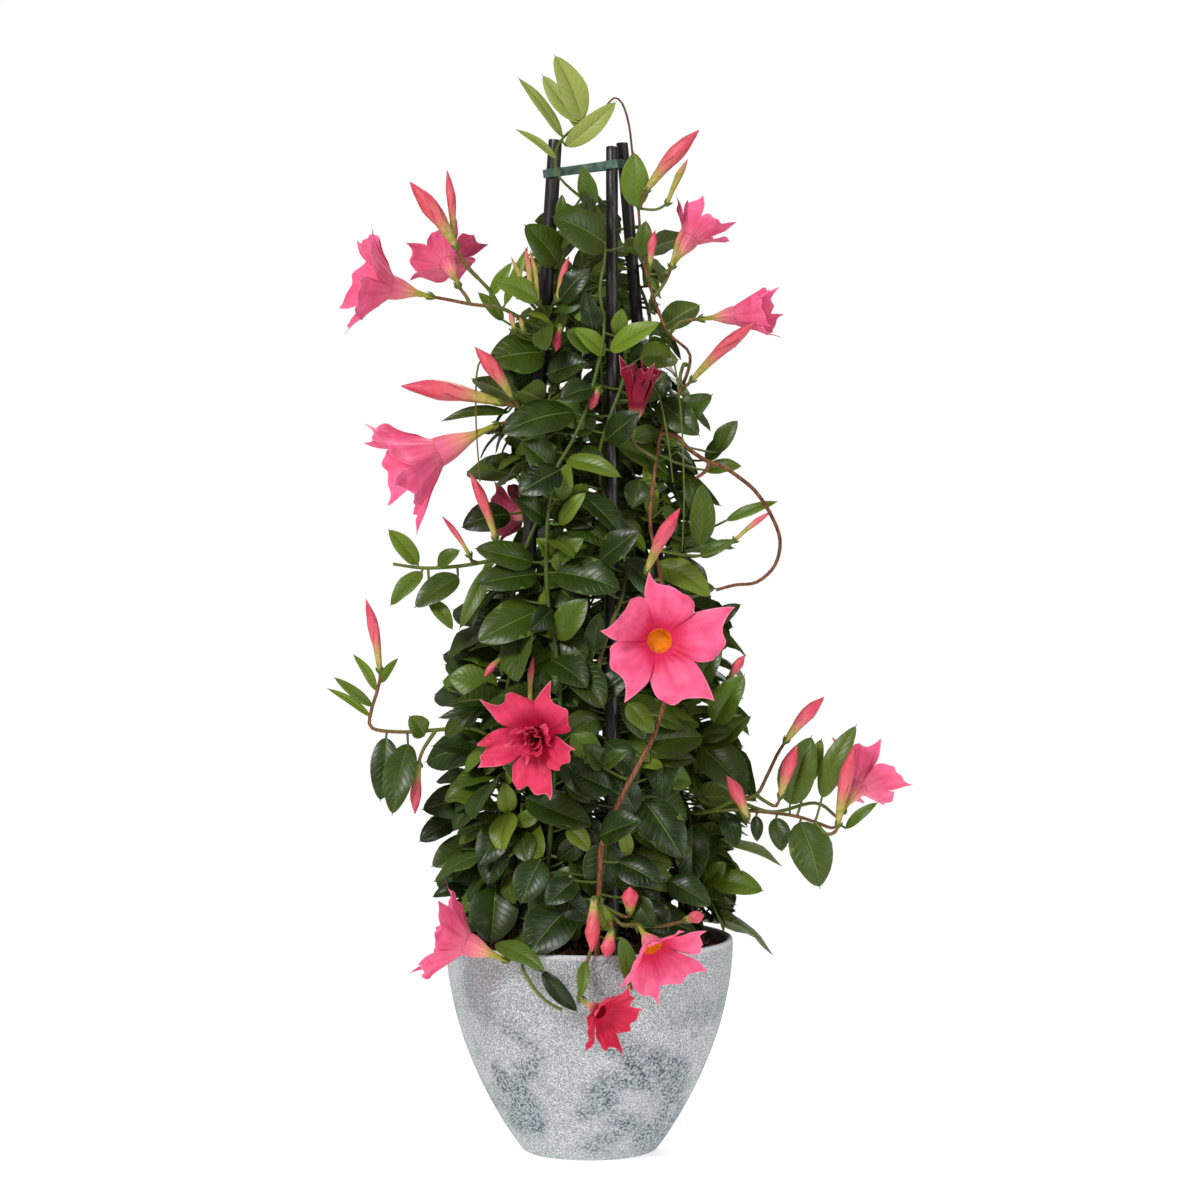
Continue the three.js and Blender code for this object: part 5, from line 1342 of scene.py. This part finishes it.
# ---------- side shoots and flower stalks ----------
# Thin green shoots leave the vines and carry the flowers, buds and small leaves; one bare
# woody tendril loops out on the right. Single flowers stand on short stalks of their own.
SHOOTS = {  # each route, with the flower or bud at its end
    "branch_high_left": [
        ([(537, 326, -22), (515, 315, -28), (500, 308, -31), (470, 304, -32), (450, 300, -31)],
         "bloom_high_left"),
        ([(470, 304, -32), (466, 296, -28)], "bloom_high_left_back"),
        ([(500, 308, -31), (490, 291, -35), (478, 278, -38), (466, 264, -40)], "bud_high_left_a"),
        ([(478, 278, -38), (463, 262, -37)], "bud_high_left_b")],
    "branch_mid_left": [
        ([(535, 414, -26), (520, 408, -34), (509, 404, -37)], "bud_mid_left_a"),
        ([(520, 408, -34), (517, 403, -38)], "bud_mid_left_b"),
        ([(535, 414, -26), (519, 419, -33), (508, 422, -35)], "bloom_mid_left")],
    "sprig_left": [
        ([(518, 558, -26), (495, 560, -33), (460, 566, -37), (424, 568, -39), (393, 564, -40)], None),
        ([(495, 560, -33), (497, 552, -36), (497, 546, -38)], "bud_left_a"),
        ([(478, 563, -35), (472, 561, -38)], "bud_left_b")],
    "sprig_low_left": [
        ([(500, 742, -34), (472, 728, -40), (436, 730, -43), (402, 732, -44), (372, 728, -45),
          (371, 712, -45), (377, 692, -46), (380, 679, -46)], "bud_low_left_a"),
        ([(436, 730, -43), (424, 748, -48), (420, 758, -50)], "bud_low_left_b")],
    "tendril": [
        ([(676, 436, -36), (690, 450, -38), (709, 462, -38), (722, 466, -38), (740, 478, -36),
          (756, 492, -34), (771, 515, -30), (780, 540, -28), (775, 565, -28), (757, 582, -30),
          (735, 585, -33), (716, 590, -35)], None),
        ([(709, 462, -38), (706, 471, -41), (696, 478, -43)], None)],
    "spray_right": [
        ([(690, 812, -12), (712, 811, -24), (740, 810, -32), (790, 815, -38), (815, 822, -40),
          (832, 828, -40), (839, 823, -38)], "bloom_spray"),
        ([(712, 811, -24), (735, 800, -36), (756, 795, -40), (766, 778, -42), (777, 755, -44)],
         "bud_spray_a"),
        ([(756, 795, -40), (768, 803, -46), (776, 806, -48)], "bud_spray_b"),
        ([(740, 810, -32), (745, 819, -38), (748, 822, -40)], "bud_spray_c"),
        ([(815, 822, -40), (826, 834, -46), (835, 832, -48)], "bud_spray_d"),
        ([(735, 800, -36), (772, 812, -30), (815, 803, -22), (838, 818, -18)], None)],
    "sprig_base_left": [
        ([(528, 918, -48), (530, 932, -72), (524, 943, -92), (514, 955, -100)], "bloom_base_left"),
        ([(530, 932, -72), (522, 962, -104), (531, 984, -110), (546, 1001, -112), (562, 1010, -113)],
         None)],
    "sprig_base_front": [
        ([(602, 900, -94), (600, 915, -98), (594, 940, -106), (583, 975, -112), (579, 994, -114)],
         "bloom_base_drop"),
        ([(601, 905, -96), (618, 914, -98), (627, 917, -98)], "bud_base_a"),
        ([(601, 905, -96), (622, 925, -102), (632, 924, -104)], "bloom_base_right"),
        ([(600, 915, -98), (610, 921, -107)], "bud_base_b"),
        ([(622, 925, -102), (660, 926, -96), (680, 922, -94)], "bud_base_c")],
}
SHOOT_LEAVES = {
    "branch_mid_left": [(508, 412, 441, 421, 9, 4, 0, -31)],
    "sprig_left": [
        (418, 564, 388, 529, 14, 6, 0, -40), (422, 572, 390, 606, 13, 6, 0, -40),
        (438, 565, 460, 550, 12, 4, 0, -38), (458, 576, 414, 608, 20, 12, 0, -38),
        (430, 600, 453, 630, 11, 6, 0, -42), (490, 566, 459, 630, 12, 14, 0, -36)],
    "sprig_low_left": [
        (376, 690, 353, 654, 7, 2, 0, -46), (381, 682, 398, 658, 7, 2, 0, -46),
        (372, 706, 334, 677, 8, 4, 0, -46), (370, 716, 327, 688, 6, 8, 0, -46),
        (386, 738, 380, 802, 20, 6, 0, -46), (408, 744, 392, 816, 22, 14, 0, -46),
        (424, 736, 409, 716, 16, 6, 0, -46), (446, 736, 470, 712, 12, 6, 0, -44)],
    "branch_high_left": [(490, 296, 512, 262, 9, 2, 0, -34), (505, 304, 528, 246, 8, 4, 0, -32)],
    "spray_right": [
        (790, 804, 812, 735, 26, 6, 0, -42), (806, 784, 822, 738, 13, 2, 0, -34),
        (822, 797, 857, 724, 17, 6, 0, -44), (800, 822, 820, 889, 30, 8, 0, -42),
        (776, 818, 782, 852, 15, 6, 0, -42), (756, 816, 757, 842, 9, 4, 0, -40),
        (846, 828, 878, 802, 8, 4, 0, -46)],
    "sprig_base_left": [(496, 944, 545, 971, 15, 30, 0, -96), (543, 972, 578, 1012, 12, 3, 20, -114)],
    "sprig_base_front": [
        (585, 962, 580, 998, 9, 4, 0, -112), (610, 930, 596, 902, 10, 4, 0, -104),
        (622, 938, 632, 992, 12, 2, 0, -112)],
}
STALKS = {  # flowers and buds that stand straight on a vine
    "bloom_high_right_a": [(655, 296, -18), (661, 288, -17), (667, 278, -14)],
    "bloom_high_right_b": [(672, 331, -22), (680, 322, -25), (690, 320, -26)],
    "bud_high_right_long": [(684, 364, -26), (680, 378, -28), (684, 387, -32)],
    "bud_high_right_a": [(640, 208, -12), (642, 200, -15)],
    "bud_high_right_c": [(648, 280, -20)],
    "bloom_wilted": [(650, 455, -48), (636, 446, -52)],
    "bloom_centre": [(664, 640, -64), (656, 650, -70)],
    "bud_centre": [(652, 580, -60)],
    "bloom_centre_left": [(560, 712, -66), (556, 722, -74)],
    "bloom_behind_leaf": [(538, 524, -6)],
    "bud_right": [(700, 700, 8), (720, 690, -4)],
}
TWIGS = [  # bare twigs that hang from the vines, with how woody each is
    (0.5, [(500, 352, -30), (484, 358, -38), (477, 372, -41), (476, 420, -42), (480, 482, -40)]),
    (0.1, [(668, 345, -28), (676, 372, -40), (682, 430, -46), (684, 500, -46), (682, 552, -42)]),
    (0.1, [(652, 384, -30), (660, 400, -44), (668, 440, -48), (673, 482, -46)])]
SHOOT_RADII, STALK_RADII, TWIG_RADII = (1.6, 1.15), (1.5, 1.2), (0.8, 0.5)  # at foot and tip
carried = {**BLOOMS, **BUDS}

shoots = {name: Shape() for name in SHOOTS}
for name, stems in SHOOTS.items():
    bark = 0.95 if name == "tendril" else 0.18
    for i, (steps, flower_name) in enumerate(stems):
        route = [place(step) for step in steps]
        if i == 0:
            routes[name] = route
            root = nearest_route(route[0], list(VINES))[1]
            route = [root, *route]
        if flower_name:
            route.append(place(carried[flower_name][0]))
        rusty = 0.6 if flower_name else 0.25
        grow_stem(shoots[name], route, 5, SHOOT_RADII, (bark, rusty), (0.5, 0.2))
for name, leaves in SHOOT_LEAVES.items():
    for leaf in leaves:
        grow_front_leaf(shoots, leaf, [name], luck)
for name, shape in shoots.items():
    shoot = shape.piece(name + "_leafy", stem_skin, leaf_upper, leaf_under)
    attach(shoot, "root")
    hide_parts(name)
    "woody_stem" if name == "tendril" else "foliage"

stalks = Shape()
for flower_name, steps in STALKS.items():
    route = [place(step) for step in steps]
    root = nearest_route(route[0], list(VINES))[1]
    route = [root, *route, place(carried[flower_name][0])]
    grow_stem(stalks, route, 4, STALK_RADII, (0.25, 0.4), (0.6, 0))
for woody, steps in TWIGS:
    curve = smooth([place(step) for step in steps], 5)
    tube(stalks, curve, np.linspace(*TWIG_RADII, len(curve)), (woody, 0.6, 0.5, 0))
flower_stalks = stalks.piece("flower_stalks", stem_skin)
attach(flower_stalks, "root")
